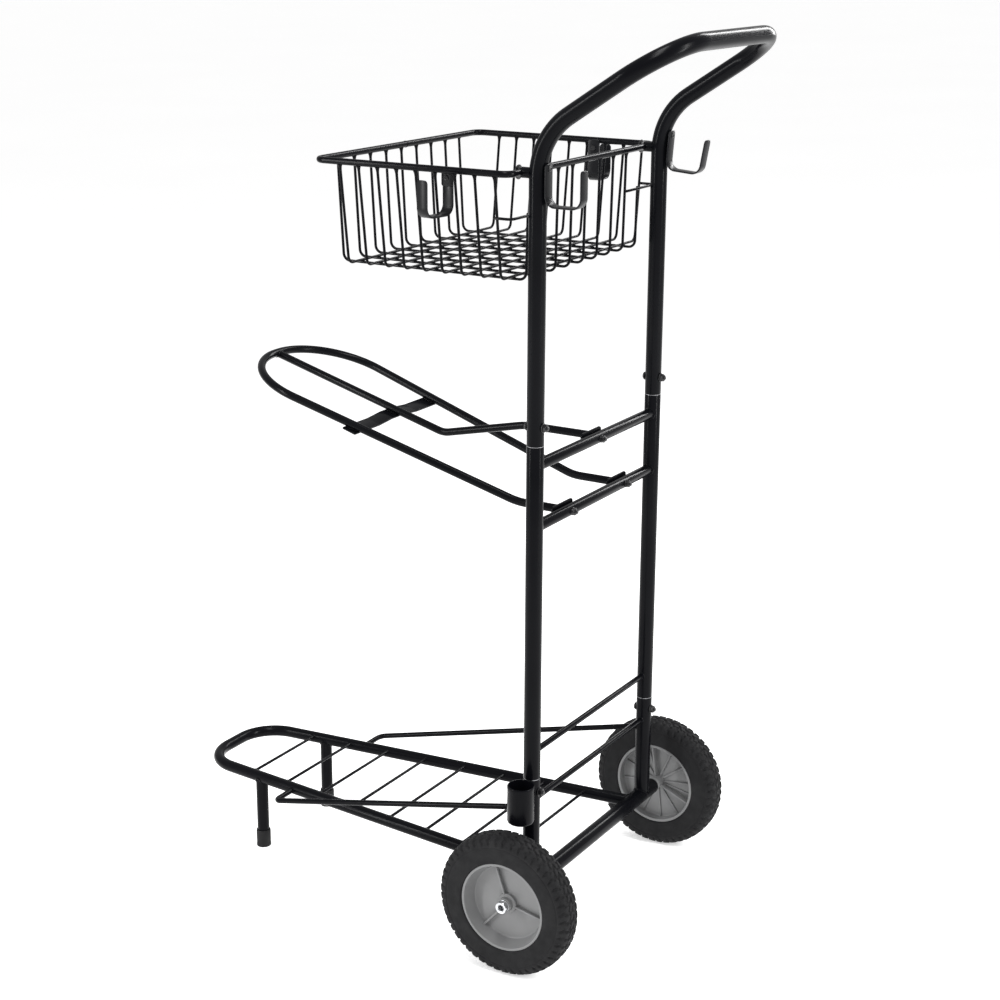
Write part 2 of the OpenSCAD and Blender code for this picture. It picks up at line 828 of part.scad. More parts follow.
// Threaded sleeves set in the front walls of the posts
module basket_rivet_nuts() {
    start = -sqrt(pow(post_r, 2) - pow(rivet_nut_d / 2, 2)) + 0.2;
    color(ZINC) stand() for (s = SIDES) difference() {
        along_y(s * post_x, start, rim_z, rivet_nut_d, -post_r + rivet_nut_l - start);
        along_y(s * post_x, start - 1, rim_z, basket_bolt_d, rivet_nut_l + 2);
    }
}

// ---- hooks ----

hook_corner = 5;
hook_screw_drop = 7;
hook_gap = 0.1;

// A flat strap bent to a U, drawn with its leg at x = 0 and its tip towards +X. The top of the
// leg is at z = 0
module hook_strap(leg_h) {
    base = -leg_h;
    module upright_strap(x, top) {
        foot = base + hook_bend;
        half_t = hook_t / 2;
        translate([x - half_t, -hook_w / 2, foot]) cube([hook_t, hook_w, top - hook_corner - foot]);
        translate([x - half_t, -hook_w / 2 + hook_corner, top - hook_corner])
            cube([hook_t, hook_w - 2 * hook_corner, hook_corner]);
        for (s = SIDES) translate([x - half_t, s * (hook_w / 2 - hook_corner), top - hook_corner])
            rotate([0, 90, 0]) cylinder(r = hook_corner, h = hook_t);
    }
    module corner_strap(x, start) {
        translate([x, 0, base + hook_bend]) rotate([90, 0, 0]) rotate([0, 0, start])
            rotate_extrude(angle = 90) translate([hook_bend - hook_t / 2, -hook_w / 2]) square([hook_t, hook_w]);
    }
    upright_strap(0, 0);
    upright_strap(hook_depth, base + hook_tip_h);
    corner_strap(hook_bend, 180);
    corner_strap(hook_depth - hook_bend, 270);
    translate([hook_bend, -hook_w / 2, base - hook_t / 2])
        cube([hook_depth - 2 * hook_bend, hook_w, hook_t]);
}

// Rear surface of the handle tube at a height, where it already bends backwards
bend_post_r = post_r * (1 + 2 * bend_swell);
bend_start = handle_top - handle_lower_bend * tan(atan2(handle_reach, handle_rise) / 2);
function post_rear(z) = z < bend_start ? post_r
    : handle_lower_bend - sqrt(pow(handle_lower_bend - bend_post_r, 2) - pow(z - bend_start, 2));

// Places a post hook's drawing with its leg against the rear of the post
module at_post_hook(side) {
    top = rim_z + (side == LEFT ? left_hook_rise : right_hook_rise);
    tilt = side == LEFT ? 0 : right_hook_tilt;
    translate([side * post_x, post_rear(top) + hook_gap + hook_t / 2, top])
        rotate([-tilt, 0, 0]) rotate([0, 0, 90]) children();
}

// The screw of a post hook, in the hook's drawing
screw_l = 9;
screw_head_d = 2 * screw_d;
screw_head_h = 0.6 * screw_d;

module screw_shank(extra = 0) {
    along_x(-hook_t / 2 - screw_l, 0, -hook_screw_drop, screw_d + extra, screw_l + hook_t);
}

module hook_post(side) {
    color(POST) stand() at_post_hook(side) difference() {
        hook_strap(hook_leg_h);
        screw_shank(2 * slip);
    }
}

module hook_post_left() {
    hook_post(LEFT);
}

module hook_post_right() {
    hook_post(RIGHT);
}

module hook_post_screws() {
    color(POST) stand() for (s = SIDES) at_post_hook(s) {
        screw_shank();
        along_x(hook_t / 2, 0, -hook_screw_drop, screw_head_d, screw_head_h);
    }
}

// A rim hook's leg hangs inside a tab that is welded to the inner face of the rim
rim_tab_h = 25;
rim_hook_top = 2;
rim_tab_x = basket_half - rim_d / 2 - hook_t / 2 + weld;
hook_rim_y = cross_wire_first - (hook_rim_bay - 0.5) * cross_wire_pitch;

module at_rim_hook(side) {
    mirror([side == LEFT ? 0 : 1, 0, 0]) translate([rim_tab_x - hook_t - hook_gap, hook_rim_y, rim_z + rim_hook_top])
        rotate([0, 0, -hook_rim_turn]) children();
}

module hook_rim(side) {
    color(POST) stand() at_rim_hook(side) difference() {
        hook_strap(rim_hook_leg_h);
        rim_screw_shank(2 * slip);
    }
}

module hook_rim_left() {
    hook_rim(LEFT);
}

module hook_rim_right() {
    hook_rim(RIGHT);
}

rim_screw_drop = 13;

module rim_screw_shank(extra = 0) {
    along_x(-hook_t / 2, 0, -rim_screw_drop, screw_d + extra, 2 * hook_t + hook_gap);
}

// Tabs turned with the hooks, whose upper edges are welded to the rim
module hook_rim_tabs() {
    color(POST) stand() for (s = SIDES) difference() {
        at_rim_hook(s) difference() {
            translate([hook_t / 2 + hook_gap, -hook_w / 2, -rim_tab_h]) cube([hook_t, hook_w, rim_tab_h]);
            rim_screw_shank(2 * slip);
        }
        rim_rod(rim_d - weld);
    }
}

// Screws through the tabs and the rim hooks, heads outwards, with nuts inside the basket
module hook_rim_screws() {
    nut_t = 3;
    color(POST) stand() for (s = SIDES) at_rim_hook(s) {
        rim_screw_shank();
        along_x(1.5 * hook_t + hook_gap, 0, -rim_screw_drop, screw_head_d, screw_head_h);
        translate([-hook_t / 2 - nut_t, 0, -rim_screw_drop]) rotate([0, 90, 0])
            cylinder(d = 1.9 * screw_d, h = nut_t, $fn = 6);
    }
}

// ---- axle and wheels ----

module axle_rod() {
    color(ZINC) stand() along_x(-axle_half, 0, 0, axle_d, 2 * axle_half);
}

module washer_ring(x, t, d) {
    translate([x, 0, 0]) rotate([0, 90, 0]) linear_extrude(t) difference() {
        circle(d = d);
        circle(d = axle_d + 2 * slip);
    }
}

module axle_washers() {
    color(ZINC) stand() for (s = SIDES) mirror([s == LEFT ? 0 : 1, 0, 0]) {
        washer_ring(axle_tube_half + plug_flange, axle_washer_t, washer_d);
        washer_ring(washer_out, axle_washer_t, washer_d);
    }
}

module axle_nuts() {
    color(ZINC) stand() for (s = SIDES) mirror([s == LEFT ? 0 : 1, 0, 0])
        translate([axle_nut_in, 0, 0]) rotate([0, 90, 0]) difference() {
            cylinder(d = axle_nut_flats / cos(30), h = axle_nut_h, $fn = 6);
            translate([0, 0, -1]) cylinder(d = axle_d, h = axle_nut_h + 2);
        }
}

// Places a wheel piece that is drawn about Z, with its outer side up and tyre_in at z = 0
module at_wheel(side) {
    stand() mirror([side == LEFT ? 0 : 1, 0, 0]) translate([tyre_in, 0, 0]) rotate([0, 90, 0]) children();
}

// Solid rubber tyre with a rounded shoulder, a flat sidewall and a deep seat on the hub
module tyre(side) {
    hub_r = hub_d / 2;
    shoulder = 9;
    tread_w = tyre_w - 2 * shoulder;
    color(RUBBER) at_wheel(side) {
        rotate_extrude() difference() {
            union() {
                translate([hub_r, 0]) square([wheel_r - shoulder - hub_r, tyre_w]);
                translate([hub_r, shoulder]) square([wheel_r - hub_r, tread_w]);
                for (z = [shoulder, tyre_w - shoulder]) translate([wheel_r - shoulder, z]) circle(r = shoulder);
            }
            translate([hub_r - 2, -1]) square([4, 5]);
            translate([hub_r - 2, tyre_w - 4]) square([4, 5]);
        }
    }
}

module tyre_left() {
    tyre(LEFT);
}

module tyre_right() {
    tyre(RIGHT);
}

// Moulded hub: a lipped rim that slopes down to a thin web, a long boss in a low ring, three
// ribs on the outer face and six on the inner
module hub(side) {
    hub_r = hub_d / 2;
    rim_t = 4.5;
    lip = 2;
    web_top = tyre_w - 19;
    web_t = 4;
    web_r = hub_r - 11.5;
    boss_r = bush_d / 2 + 3.5;
    ring_r = boss_r + 4;
    ring_h = 3;
    rib_t = 3.5;
    rib_h = 3.5;
    inner_rib_h = 9;
    outer_ribs = 3;
    inner_ribs = 6;
    boss_bottom = boss_in - tyre_in;
    boss_top = boss_out - tyre_in;
    color(GREY) at_wheel(side) union() {
        rotate_extrude() polygon([
            [bush_d / 2, boss_bottom], [boss_r, boss_bottom], [boss_r, web_top - web_t],
            [hub_r - rim_t, web_top - web_t], [hub_r - rim_t, lip], [hub_r - slip, lip],
            [hub_r - slip, tyre_w - lip], [hub_r - rim_t, tyre_w - lip], [web_r, web_top],
            [ring_r, web_top], [ring_r, web_top + ring_h], [boss_r, web_top + ring_h],
            [boss_r, boss_top], [bush_d / 2, boss_top]
        ]);
        for (i = [0 : outer_ribs - 1]) rotate([0, 0, 77 + i * 360 / outer_ribs])
            translate([ring_r - 1, -rib_t / 2, web_top - 1]) cube([web_r - ring_r + 3, rib_t, rib_h + 1]);
        for (i = [0 : inner_ribs - 1]) rotate([0, 0, 97 + i * 360 / inner_ribs])
            translate([boss_r - 1, -rib_t / 2, web_top - web_t - inner_rib_h])
                cube([hub_r - rim_t - boss_r + 2, rib_t, inner_rib_h + 1]);
    }
}

module hub_left() {
    hub(LEFT);
}

module hub_right() {
    hub(RIGHT);
}

// Plain bearing bush pressed into the hub
module bush(side) {
    color(ZINC) at_wheel(side) translate([0, 0, boss_in - tyre_in])
        linear_extrude(boss_out - boss_in) difference() {
            circle(d = bush_d);
            circle(d = axle_d + 2 * axle_gap);
        }
}

module bush_left() {
    bush(LEFT);
}

module bush_right() {
    bush(RIGHT);
}

axle_tube();
axle_plugs();
base_post_left();
base_post_right();
base_cross_rod();
tray_loop();
tray_rods();
side_guard_left();
side_guard_right();
leg_left();
leg_right();
foot_cap_left();
foot_cap_right();
whip_cup();
upright_left();
upright_right();
upper_cross_tube();
lower_cross_tube();
frame_cross_rod();
handle_tube();
joint_bolts();
joint_washers();
joint_nuts();
rack_loop();
rack_ridge_bar();
rack_strap();
rack_end_plates();
rack_studs();
rack_nuts();
basket_rim();
basket_long_wires();
basket_cross_wires();
basket_corner_wires();
basket_spacers();
basket_bolts();
basket_rivet_nuts();
hook_post_left();
hook_post_right();
hook_post_screws();
hook_rim_left();
hook_rim_right();
hook_rim_tabs();
hook_rim_screws();
axle_rod();
axle_washers();
axle_nuts();
tyre_left();
tyre_right();
hub_left();
hub_right();
bush_left();
bush_right();
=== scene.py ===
"""Looks for the tack trolley: tubes, wires, welds, straps, fasteners, tyres and hubs.

The pieces are drawn in millimetres in the cart's upright frame, with the axle at the origin
and the tray towards -Y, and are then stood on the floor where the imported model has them.
"""
import math
import random

import bmesh
import bpy
from mathutils import Matrix, Vector


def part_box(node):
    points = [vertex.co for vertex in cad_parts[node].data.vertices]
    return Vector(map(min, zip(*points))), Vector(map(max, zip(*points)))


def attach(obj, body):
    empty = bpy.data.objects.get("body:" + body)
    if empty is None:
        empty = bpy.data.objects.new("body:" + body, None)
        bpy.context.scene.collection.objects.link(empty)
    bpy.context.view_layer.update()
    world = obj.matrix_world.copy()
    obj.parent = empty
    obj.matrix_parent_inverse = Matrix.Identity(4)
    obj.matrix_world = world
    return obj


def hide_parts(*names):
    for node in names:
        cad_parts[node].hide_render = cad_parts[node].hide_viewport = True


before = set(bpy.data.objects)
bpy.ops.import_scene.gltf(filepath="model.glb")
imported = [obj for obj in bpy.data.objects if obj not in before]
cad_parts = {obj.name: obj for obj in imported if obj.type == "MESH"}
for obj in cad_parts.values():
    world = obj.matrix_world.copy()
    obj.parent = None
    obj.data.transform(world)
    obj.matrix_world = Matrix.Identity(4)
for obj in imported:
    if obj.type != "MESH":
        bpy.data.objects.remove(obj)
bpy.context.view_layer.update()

# ---- the cart's upright frame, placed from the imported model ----

LEAN = math.radians(1.5)
tyre_low, tyre_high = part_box("tyre_left")
AXLE_AT = Vector((0, (tyre_low.y + tyre_high.y) / 2, (tyre_low.z + tyre_high.z) / 2))
STAND = Matrix.Translation(AXLE_AT) @ Matrix.Rotation(-LEAN, 4, "X") @ Matrix.Scale(0.001, 4)
SIDES = (1, -1)
SIDE_NAME = {1: "left", -1: "right"}

# Sizes of the CAD model, in millimetres
POST_X = (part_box("upright_left")[0].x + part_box("upright_left")[1].x) * 500
POST_R = 12.5
LOWER_JOINT = 174
UPPER_JOINT = 679
JOINT_GAP = 0.3
BASE_ROD_Z, FRAME_ROD_Z = 136, 213
HANDLE_TOP = 1106
HANDLE_REACH = 195
HANDLE_BEND, GRIP_BEND = 100, 88
GRIP_Z = 1232
AXLE_TUBE_R = 12.7
AXLE_TUBE_HALF = 219
TRAY_R = 9.5
TRAY_REAR, TRAY_FRONT, TRAY_REACH, TRAY_BEND = 149, 79, 704, 65
TRAY_RODS, TRAY_ROD_R, TRAY_ROD_FIRST, TRAY_ROD_PITCH = 8, 2.5, 81, 73.29
ROD_R = 4.5
LEG_REACH, LEG_R = 574, 10
GUARD_REACH, GUARD_HALF, GUARD_TOP = 500, 153, 122
CUP_Z, CUP_H = 115, 59
RACK_R = 6.35
RIDGE_R = 6
RACK_Z, RIDGE_Z = 559, 649
RACK_REAR, RACK_FRONT = 85, 125
RACK_REACH, RACK_BEND, RACK_RISE = 585, 85, 151
RIDGE_DIP_REACH, RIDGE_DIP_RISE, RIDGE_LEVEL_REACH = 268, 61, 122
STRAP_REACH, STRAP_W, STRAP_T = 362, 25, 2.5
PLATE_L, PLATE_H, PLATE_T = 60, 22, 3
CROSS_R = 8.5
RIM_R = 4.75
RIM_X, RIM_REAR, RIM_FRONT, RIM_Z = 218, -25, -342, 1057
FLOOR_Z = 907
BASKET_H = RIM_Z - FLOOR_Z
SIDE_TAPER, FRONT_TAPER, REAR_TAPER = 18, 8, 3
WIRE_R, WIRE_BEND = 2, 11
LONG_EACH_SIDE, LONG_PITCH = 4, 41
CROSS_WIRES, CROSS_FIRST, CROSS_PITCH = 9, -47, 31.625
CORNER_H = 90
HOOK_W, HOOK_T, HOOK_DEPTH, HOOK_TIP, HOOK_BEND = 18, 2.5, 54, 51, 14
POST_HOOK_H, RIM_HOOK_H = 57, 63
WHEEL_R = 110
TYRE_IN, TYRE_W = POST_X + 44, 44
HUB_R = 68.4
AXLE_HALF, AXLE_R = 269.7, 5
WASHER_X, NUT_X = (222, 262), 263.2


def V(*p):
    return Vector(p)


# ---- mesh building ----

def bent(points, bends=(), step=5):
    """Points of a line that is rounded at each inner point."""
    points = [Vector(p) for p in points]
    out = [points[0]]
    for i in range(1, len(points) - 1):
        a, b, c = points[i - 1:i + 2]
        u, v = (b - a).normalized(), (c - b).normalized()
        t = u.angle(v)
        r = bends[i - 1]
        if t < 0.01 or r <= 0:
            out.append(b)
            continue
        n = (v - u * math.cos(t)).normalized()
        centre = b - u * r * math.tan(t / 2) + n * r
        count = max(4, round(math.degrees(t) / step))
        for k in range(count + 1):
            s = t * k / count
            out.append(centre - n * r * math.cos(s) + u * r * math.sin(s))
    out.append(points[-1])
    return out


def lengths(path):
    out = [0.0]
    for a, b in zip(path, path[1:]):
        out.append(out[-1] + (b - a).length)
    return out


def refine(path, stations):
    """Adds points to a path at these distances from its start, or from its end if negative."""
    total = lengths(path)[-1]
    for s in sorted(x if x >= 0 else total + x for x in stations):
        at = lengths(path)
        for i in range(len(path) - 1):
            if at[i] + 1e-4 < s < at[i + 1] - 1e-4:
                path.insert(i + 1, path[i].lerp(path[i + 1], (s - at[i]) / (at[i + 1] - at[i])))
                break
    return path


def circle(place, radius, z, count):
    """Points round Z at a height; radius is a number, or a function that gives it at each angle."""
    points = []
    for k in range(count):
        a = 2 * math.pi * k / count
        r = radius(a) if callable(radius) else radius
        points.append(place @ V(r * math.cos(a), r * math.sin(a), z))
    return points


def merge(bm, part, place):
    """Adds a part to a mesh at a place and frees the part."""
    part.transform(place)
    copy = {v: bm.verts.new(v.co) for v in part.verts}
    for f in part.faces:
        bm.faces.new([copy[v] for v in f.verts])
    part.free()


def skin(bm, rings, closed=False):
    """Joins rings of vertices, each a list of points, into a tube."""
    rows = [[bm.verts.new(p) for p in ring] for ring in rings]
    n = len(rows[0])
    pairs = list(zip(rows, rows[1:])) + ([(rows[-1], rows[0])] if closed else [])
    for a, b in pairs:
        for k in range(n):
            bm.faces.new((a[k], a[(k + 1) % n], b[(k + 1) % n], b[k]))
    if not closed:
        bm.faces.new(rows[0][::-1])
        bm.faces.new(rows[-1])


def sweep(bm, path, radius, seg=32, closed=False):
    """A round tube along a path; radius is a number or a list, one for each point."""
    count = len(path)
    radii = [radius] * count if isinstance(radius, (int, float)) else radius
    tangents = []
    for i in range(count):
        before = path[i - 1] if closed or i > 0 else path[0]
        after = path[(i + 1) % count] if closed or i < count - 1 else path[-1]
        tangents.append(((path[i] - before).normalized() + (after - path[i]).normalized()).normalized())
    n = tangents[0].orthogonal().normalized()
    rings = []
    for i in range(count):
        t = tangents[i]
        if i:
            n = tangents[i - 1].rotation_difference(t) @ n
        n = (n - t * n.dot(t)).normalized()
        rings.append(circle(Matrix.Translation(path[i]) @ Matrix((n, t.cross(n), t)).transposed().to_4x4(),
                            radii[i], 0, seg))
    skin(bm, rings, closed)


def tube(bm, points, bends, r, edge=0.8, seg=32, flare=0, step=5):
    """A bent tube whose ends are rounded over edge, or flared where they are welded."""
    path = bent(points, bends, step)
    flare_l = 8
    marks = [0.6, 1.5, 3, 5, flare_l] if flare else [edge * k for k in (0.15, 0.5, 1)]
    path = refine(path, marks + [-m for m in marks])
    at = lengths(path)
    radii = []
    for s in at:
        d = min(s, at[-1] - s)
        if flare:
            radii.append(r * (1 + flare * max(0, 1 - d / flare_l) ** 2.2))
        else:
            x = max(0, 1 - d / edge)
            radii.append(r - edge * (1 - math.sqrt(max(0, 1 - x * x))) if x > 0 else r)
    sweep(bm, path, radii, seg)


def basis(axis):
    axis = Vector(axis).normalized()
    n = axis.orthogonal().normalized()
    return Matrix((n, axis.cross(n), axis)).transposed().to_4x4()


def on(origin, axis=(0, 0, 1), turn=0):
    """Places a shape that is drawn about Z at an origin, along an axis."""
    return Matrix.Translation(Vector(origin)) @ basis(axis) @ Matrix.Rotation(turn, 4, "Z")


def lathe(bm, profile, place, seg=48, closed=False):
    """Turns (radius, height) points about Z. A radius of 0 ends in a point."""
    rows = []
    for r, z in profile:
        if r <= 1e-6:
            rows.append([bm.verts.new(place @ V(0, 0, z))])
        else:
            rows.append([bm.verts.new(p) for p in circle(place, r, z, seg)])
    for a, b in list(zip(rows, rows[1:])) + ([(rows[-1], rows[0])] if closed else []):
        for k in range(seg):
            j = (k + 1) % seg
            if len(a) == 1 and len(b) > 1:
                bm.faces.new((a[0], b[j], b[k]))
            elif len(b) == 1 and len(a) > 1:
                bm.faces.new((a[k], a[j], b[0]))
            elif len(a) > 1:
                bm.faces.new((a[k], a[j], b[j], b[k]))


def slab(bm, outline, z0, z1, place, bevel=0.4):
    """A flat plate with this outline in X and Y, its edges rounded."""
    part = bmesh.new()
    low = [part.verts.new((x, y, z0)) for x, y in outline]
    face = part.faces.new(low)
    top = bmesh.ops.extrude_face_region(part, geom=[face])
    for v in [g for g in top["geom"] if isinstance(g, bmesh.types.BMVert)]:
        v.co.z = z1
    bmesh.ops.recalc_face_normals(part, faces=part.faces)
    rim = [e for e in part.edges if abs(e.verts[0].co.z - e.verts[1].co.z) < 1e-6]
    bmesh.ops.bevel(part, geom=rim, offset=bevel, segments=2, affect="EDGES", profile=0.5)
    merge(bm, part, place)


def round_rect(w, h, r, steps=5):
    """An outline with four rounded corners."""
    out = []
    for cx, cy, a in ((1, 1, 0), (-1, 1, 90), (-1, -1, 180), (1, -1, 270)):
        for k in range(steps + 1):
            t = math.radians(a + 90 * k / steps)
            out.append((cx * (w / 2 - r) + r * math.cos(t), cy * (h / 2 - r) + r * math.sin(t)))
    return out


def ribbon(bm, path, side, half_w, t, corner=5, edge=0.5):
    """A flat strap along a path, with rounded corners at both ends."""
    marks = [0.15, 0.6, 1.3, 2.3, 3.6, corner]
    path = refine(path, marks + [-m for m in marks])
    at = lengths(path)
    side = Vector(side).normalized()
    rings = []
    for i, p in enumerate(path):
        before, after = path[max(0, i - 1)], path[min(len(path) - 1, i + 1)]
        n = (after - before).normalized().cross(side).normalized()
        d = min(at[i], at[-1] - at[i])
        w = half_w
        if d < corner:
            w = half_w - corner + math.sqrt(max(0, corner ** 2 - (corner - d) ** 2))
        thin = edge * max(0, 1 - d / 0.6)
        ring = []
        for sx, sy in ((1, 1), (-1, 1), (-1, -1), (1, -1)):
            h = t / 2
            c = [(w - edge, h - thin), (w - edge * 0.3, h - edge * 0.3 - thin * 0.7), (w, h - edge)]
            pts = [side * sx * x + n * sy * max(y, 0.2) for x, y in c]
            ring += pts if sx * sy < 0 else pts[::-1]
        rings.append([p + q for q in ring])
    skin(bm, rings)


def weld(bm, a0, a_dir, ra, b0, b_dir, rb, bead=1.3, seed=1, count=64):
    """A bead where a round bar, which starts at a0 and runs along a_dir, meets another bar."""
    rng = random.Random(seed)
    a0, b0 = Vector(a0), Vector(b0)
    d, e = Vector(a_dir).normalized(), Vector(b_dir).normalized()
    n = d.orthogonal().normalized()
    m = d.cross(n)
    path, radii = [], []
    phase = rng.random() * 6
    for k in range(count):
        th = 2 * math.pi * k / count
        w = a0 + (n * math.cos(th) + m * math.sin(th)) * ra
        q = (w - b0) - e * (w - b0).dot(e)
        g = d - e * d.dot(e)
        qa, qb, qc = g.dot(g), 2 * q.dot(g), q.dot(q) - rb * rb
        disc = qb * qb - 4 * qa * qc
        t = (-qb - math.sqrt(disc)) / (2 * qa) if disc > 0 else -qb / (2 * qa)
        path.append(w + d * t)
        radii.append(bead * (1 + 0.10 * math.sin(9 * th + phase) + 0.06 * rng.uniform(-1, 1)))
    sweep(bm, path, radii, 8, closed=True)


def seam(bm, a, b, bead=1.3, seed=1):
    """A straight weld bead with ripples."""
    rng = random.Random(seed)
    a, b = Vector(a), Vector(b)
    count = max(6, round((b - a).length / 1.1))
    path = [a.lerp(b, k / count) for k in range(count + 1)]
    radii = [bead * (0.35 if k in (0, count) else 1 + 0.12 * math.sin(k * 2.1) + 0.08 * rng.uniform(-1, 1))
             for k in range(count + 1)]
    sweep(bm, path, radii, 10)


def blob(bm, at, size, seg=10):
    """A small rounded spot of weld metal."""
    rows = [(0, -1), (0.5, -0.87), (0.87, -0.5), (1, 0), (0.87, 0.5), (0.5, 0.87), (0, 1)]
    scale = Matrix.Diagonal((*size, 1))
    lathe(bm, rows, Matrix.Translation(Vector(at)) @ scale, seg)


def hex_nut(bm, place, flats, h, hole):
    """A nut whose corners are chamfered, with the thread's bore."""
    count, r, mouth = 48, flats / 2, hole * 1.12
    corner = r / math.cos(math.pi / 6)

    def outline(grow):
        return lambda a: min(r / math.cos(a % (math.pi / 3) - math.pi / 6), r + (corner - r) * grow)

    rows = [circle(place, outline(grow), z * h, count)
            for z, grow in ((0, 0), (0.1, 0.45), (0.16, 1), (0.84, 1), (0.9, 0.45), (1, 0))]
    rows += [circle(place, bore, z, count)
             for bore, z in ((mouth, h), (hole, h - 0.12 * hole), (hole, 0.12 * hole), (mouth, 0))]
    skin(bm, rows, closed=True)


def thread(bm, place, r, length, start=0, pitch=1.0):
    """A threaded shank with a chamfered end."""
    profile = [(0, start), (r * 0.9, start)]
    z = start
    while z < length - pitch:
        profile += [(r, z + pitch * 0.3), (r, z + pitch * 0.45), (r * 0.88, z + pitch * 0.9)]
        z += pitch
    profile += [(r * 0.95, length - 0.6), (r * 0.75, length), (0, length)]
    lathe(bm, profile, place, 24)


def dome(bm, place, r, h, socket=0.0):
    """A button head with a hexagon socket."""
    profile = [(0, 0), (r * 0.94, 0), (r, h * 0.08), (r, h * 0.25)]
    profile += [(r * math.cos(t), h * (0.25 + 0.75 * math.sin(t))) for t in (0.25, 0.5, 0.75, 1.0)]
    lip = max(socket, r * 0.3)
    profile += [(lip * 1.25, h * 0.99), (lip, h * 0.94), (lip * 0.97, h * 0.35), (0, h * 0.3)]
    lathe(bm, profile, place, 36)


def washer(bm, place, r, hole, t):
    """A flat ring with broken edges."""
    e = min(0.3, t / 3)
    lower = [(hole, e), (hole + e, 0), (r - e, 0), (r, e)]
    lathe(bm, lower + [(x, t - z) for x, z in lower[::-1]], place, 40, closed=True)


# ---- materials ----

def material(name, build):
    """A procedural material; build wires its shader with the helpers that it is given."""
    mat = bpy.data.materials.new(name)
    mat.use_nodes = True
    nodes, links = mat.node_tree.nodes, mat.node_tree.links
    shader = nodes["Principled BSDF"]
    coords = nodes.new("ShaderNodeTexCoord").outputs["Object"]

    def noise(scale, detail, rough):
        n = nodes.new("ShaderNodeTexNoise")
        n.inputs["Scale"].default_value = scale
        n.inputs["Detail"].default_value = detail
        n.inputs["Roughness"].default_value = rough
        links.new(coords, n.inputs["Vector"])
        return n.outputs["Fac"]

    def ramp(value, *stops):
        r = nodes.new("ShaderNodeValToRGB")
        for element, (position, colour) in zip(r.color_ramp.elements, (stops[0], stops[-1])):
            element.position = position
            element.color = (*colour, 1)
        for position, colour in stops[1:-1]:
            r.color_ramp.elements.new(position).color = (*colour, 1)
        links.new(value, r.inputs["Fac"])
        return r.outputs["Color"]

    def spread(value, low, high):
        m = nodes.new("ShaderNodeMapRange")
        m.inputs["From Min"].default_value, m.inputs["From Max"].default_value = 0.3, 0.7
        m.inputs["To Min"].default_value, m.inputs["To Max"].default_value = low, high
        links.new(value, m.inputs["Value"])
        return m.outputs["Result"]

    def bump(height, distance, strength, after=None):
        b = nodes.new("ShaderNodeBump")
        b.inputs["Strength"].default_value = strength
        b.inputs["Distance"].default_value = distance
        links.new(height, b.inputs["Height"])
        if after:
            links.new(after, b.inputs["Normal"])
        return b.outputs["Normal"]

    build(shader, links, noise, ramp, spread, bump)
    return mat


def painted(dark, light, rough_low, rough_high, gloss):
    def build(s, links, noise, ramp, spread, bump):
        links.new(ramp(noise(7, 5, 0.6), (0.35, dark), (0.7, light)), s.inputs["Base Color"])
        links.new(spread(noise(26, 4, 0.6), rough_low, rough_high), s.inputs["Roughness"])
        s.inputs["Specular IOR Level"].default_value = gloss
        peel = bump(noise(380, 2, 0.5), 0.00003, 0.4)
        links.new(bump(noise(1300, 1, 0.5), 0.000008, 0.3, peel), s.inputs["Normal"])
    return build


def rubber(dark, light, scale=1.0):
    def build(s, links, noise, ramp, spread, bump):
        middle = tuple((a + b) / 2 for a, b in zip(dark, light))
        links.new(ramp(noise(14, 6, 0.65), (0.3, dark), (0.55, middle), (0.8, light)), s.inputs["Base Color"])
        links.new(spread(noise(60, 4, 0.6), 0.58, 0.82), s.inputs["Roughness"])
        s.inputs["Specular IOR Level"].default_value = 0.18
        grain = bump(noise(700 * scale, 3, 0.6), 0.00012, 0.7)
        links.new(bump(noise(120 * scale, 3, 0.6), 0.0002, 0.35, grain), s.inputs["Normal"])
    return build


def plastic(s, links, noise, ramp, spread, bump):
    shade = ramp(noise(9, 5, 0.6), (0.3, (0.150, 0.151, 0.153)), (0.72, (0.172, 0.173, 0.174)))
    links.new(shade, s.inputs["Base Color"])
    links.new(spread(noise(40, 4, 0.6), 0.38, 0.55), s.inputs["Roughness"])
    grain = bump(noise(1100, 2, 0.5), 0.00005, 0.6)
    links.new(bump(noise(90, 3, 0.5), 0.00015, 0.25, grain), s.inputs["Normal"])


def metal(dark, light):
    def build(s, links, noise, ramp, spread, bump):
        s.inputs["Metallic"].default_value = 1
        links.new(ramp(noise(160, 4, 0.6), (0.3, dark), (0.7, light)), s.inputs["Base Color"])
        links.new(spread(noise(300, 3, 0.6), 0.22, 0.42), s.inputs["Roughness"])
        links.new(bump(noise(900, 2, 0.5), 0.00003, 0.6), s.inputs["Normal"])
    return build


PAINT = material("gloss_black_paint", painted((0.0022, 0.0023, 0.0032), (0.0038, 0.004, 0.005), 0.17, 0.25, 0.06))
STRAP = material("satin_black_paint", painted((0.0042, 0.0044, 0.0054), (0.007, 0.0073, 0.0086), 0.26, 0.36, 0.14))
BOLT = material("black_oxide", painted((0.006, 0.006, 0.007), (0.015, 0.015, 0.016), 0.28, 0.42, 0.35))
TYRE = material("tyre_rubber", rubber((0.0055, 0.0055, 0.0062), (0.0105, 0.0105, 0.0112)))
FOOT = material("foot_rubber", rubber((0.0075, 0.0075, 0.008), (0.014, 0.014, 0.0145), 1.5))
HUB = material("grey_hub_plastic", plastic)
ZINC = material("bright_zinc", metal((0.50, 0.51, 0.53), (0.74, 0.75, 0.76)))
# A light steel colour for the joint swages, a painted highlight along each joint's thin lip.
SWAGE_HIGHLIGHT_METAL = material("swage_painted_highlight_steel", metal((0.16, 0.16, 0.17), (0.34, 0.34, 0.35)))
PLUG = material("black_plug_plastic", painted((0.005, 0.005, 0.0055), (0.009, 0.009, 0.0095), 0.42, 0.58, 0.35))


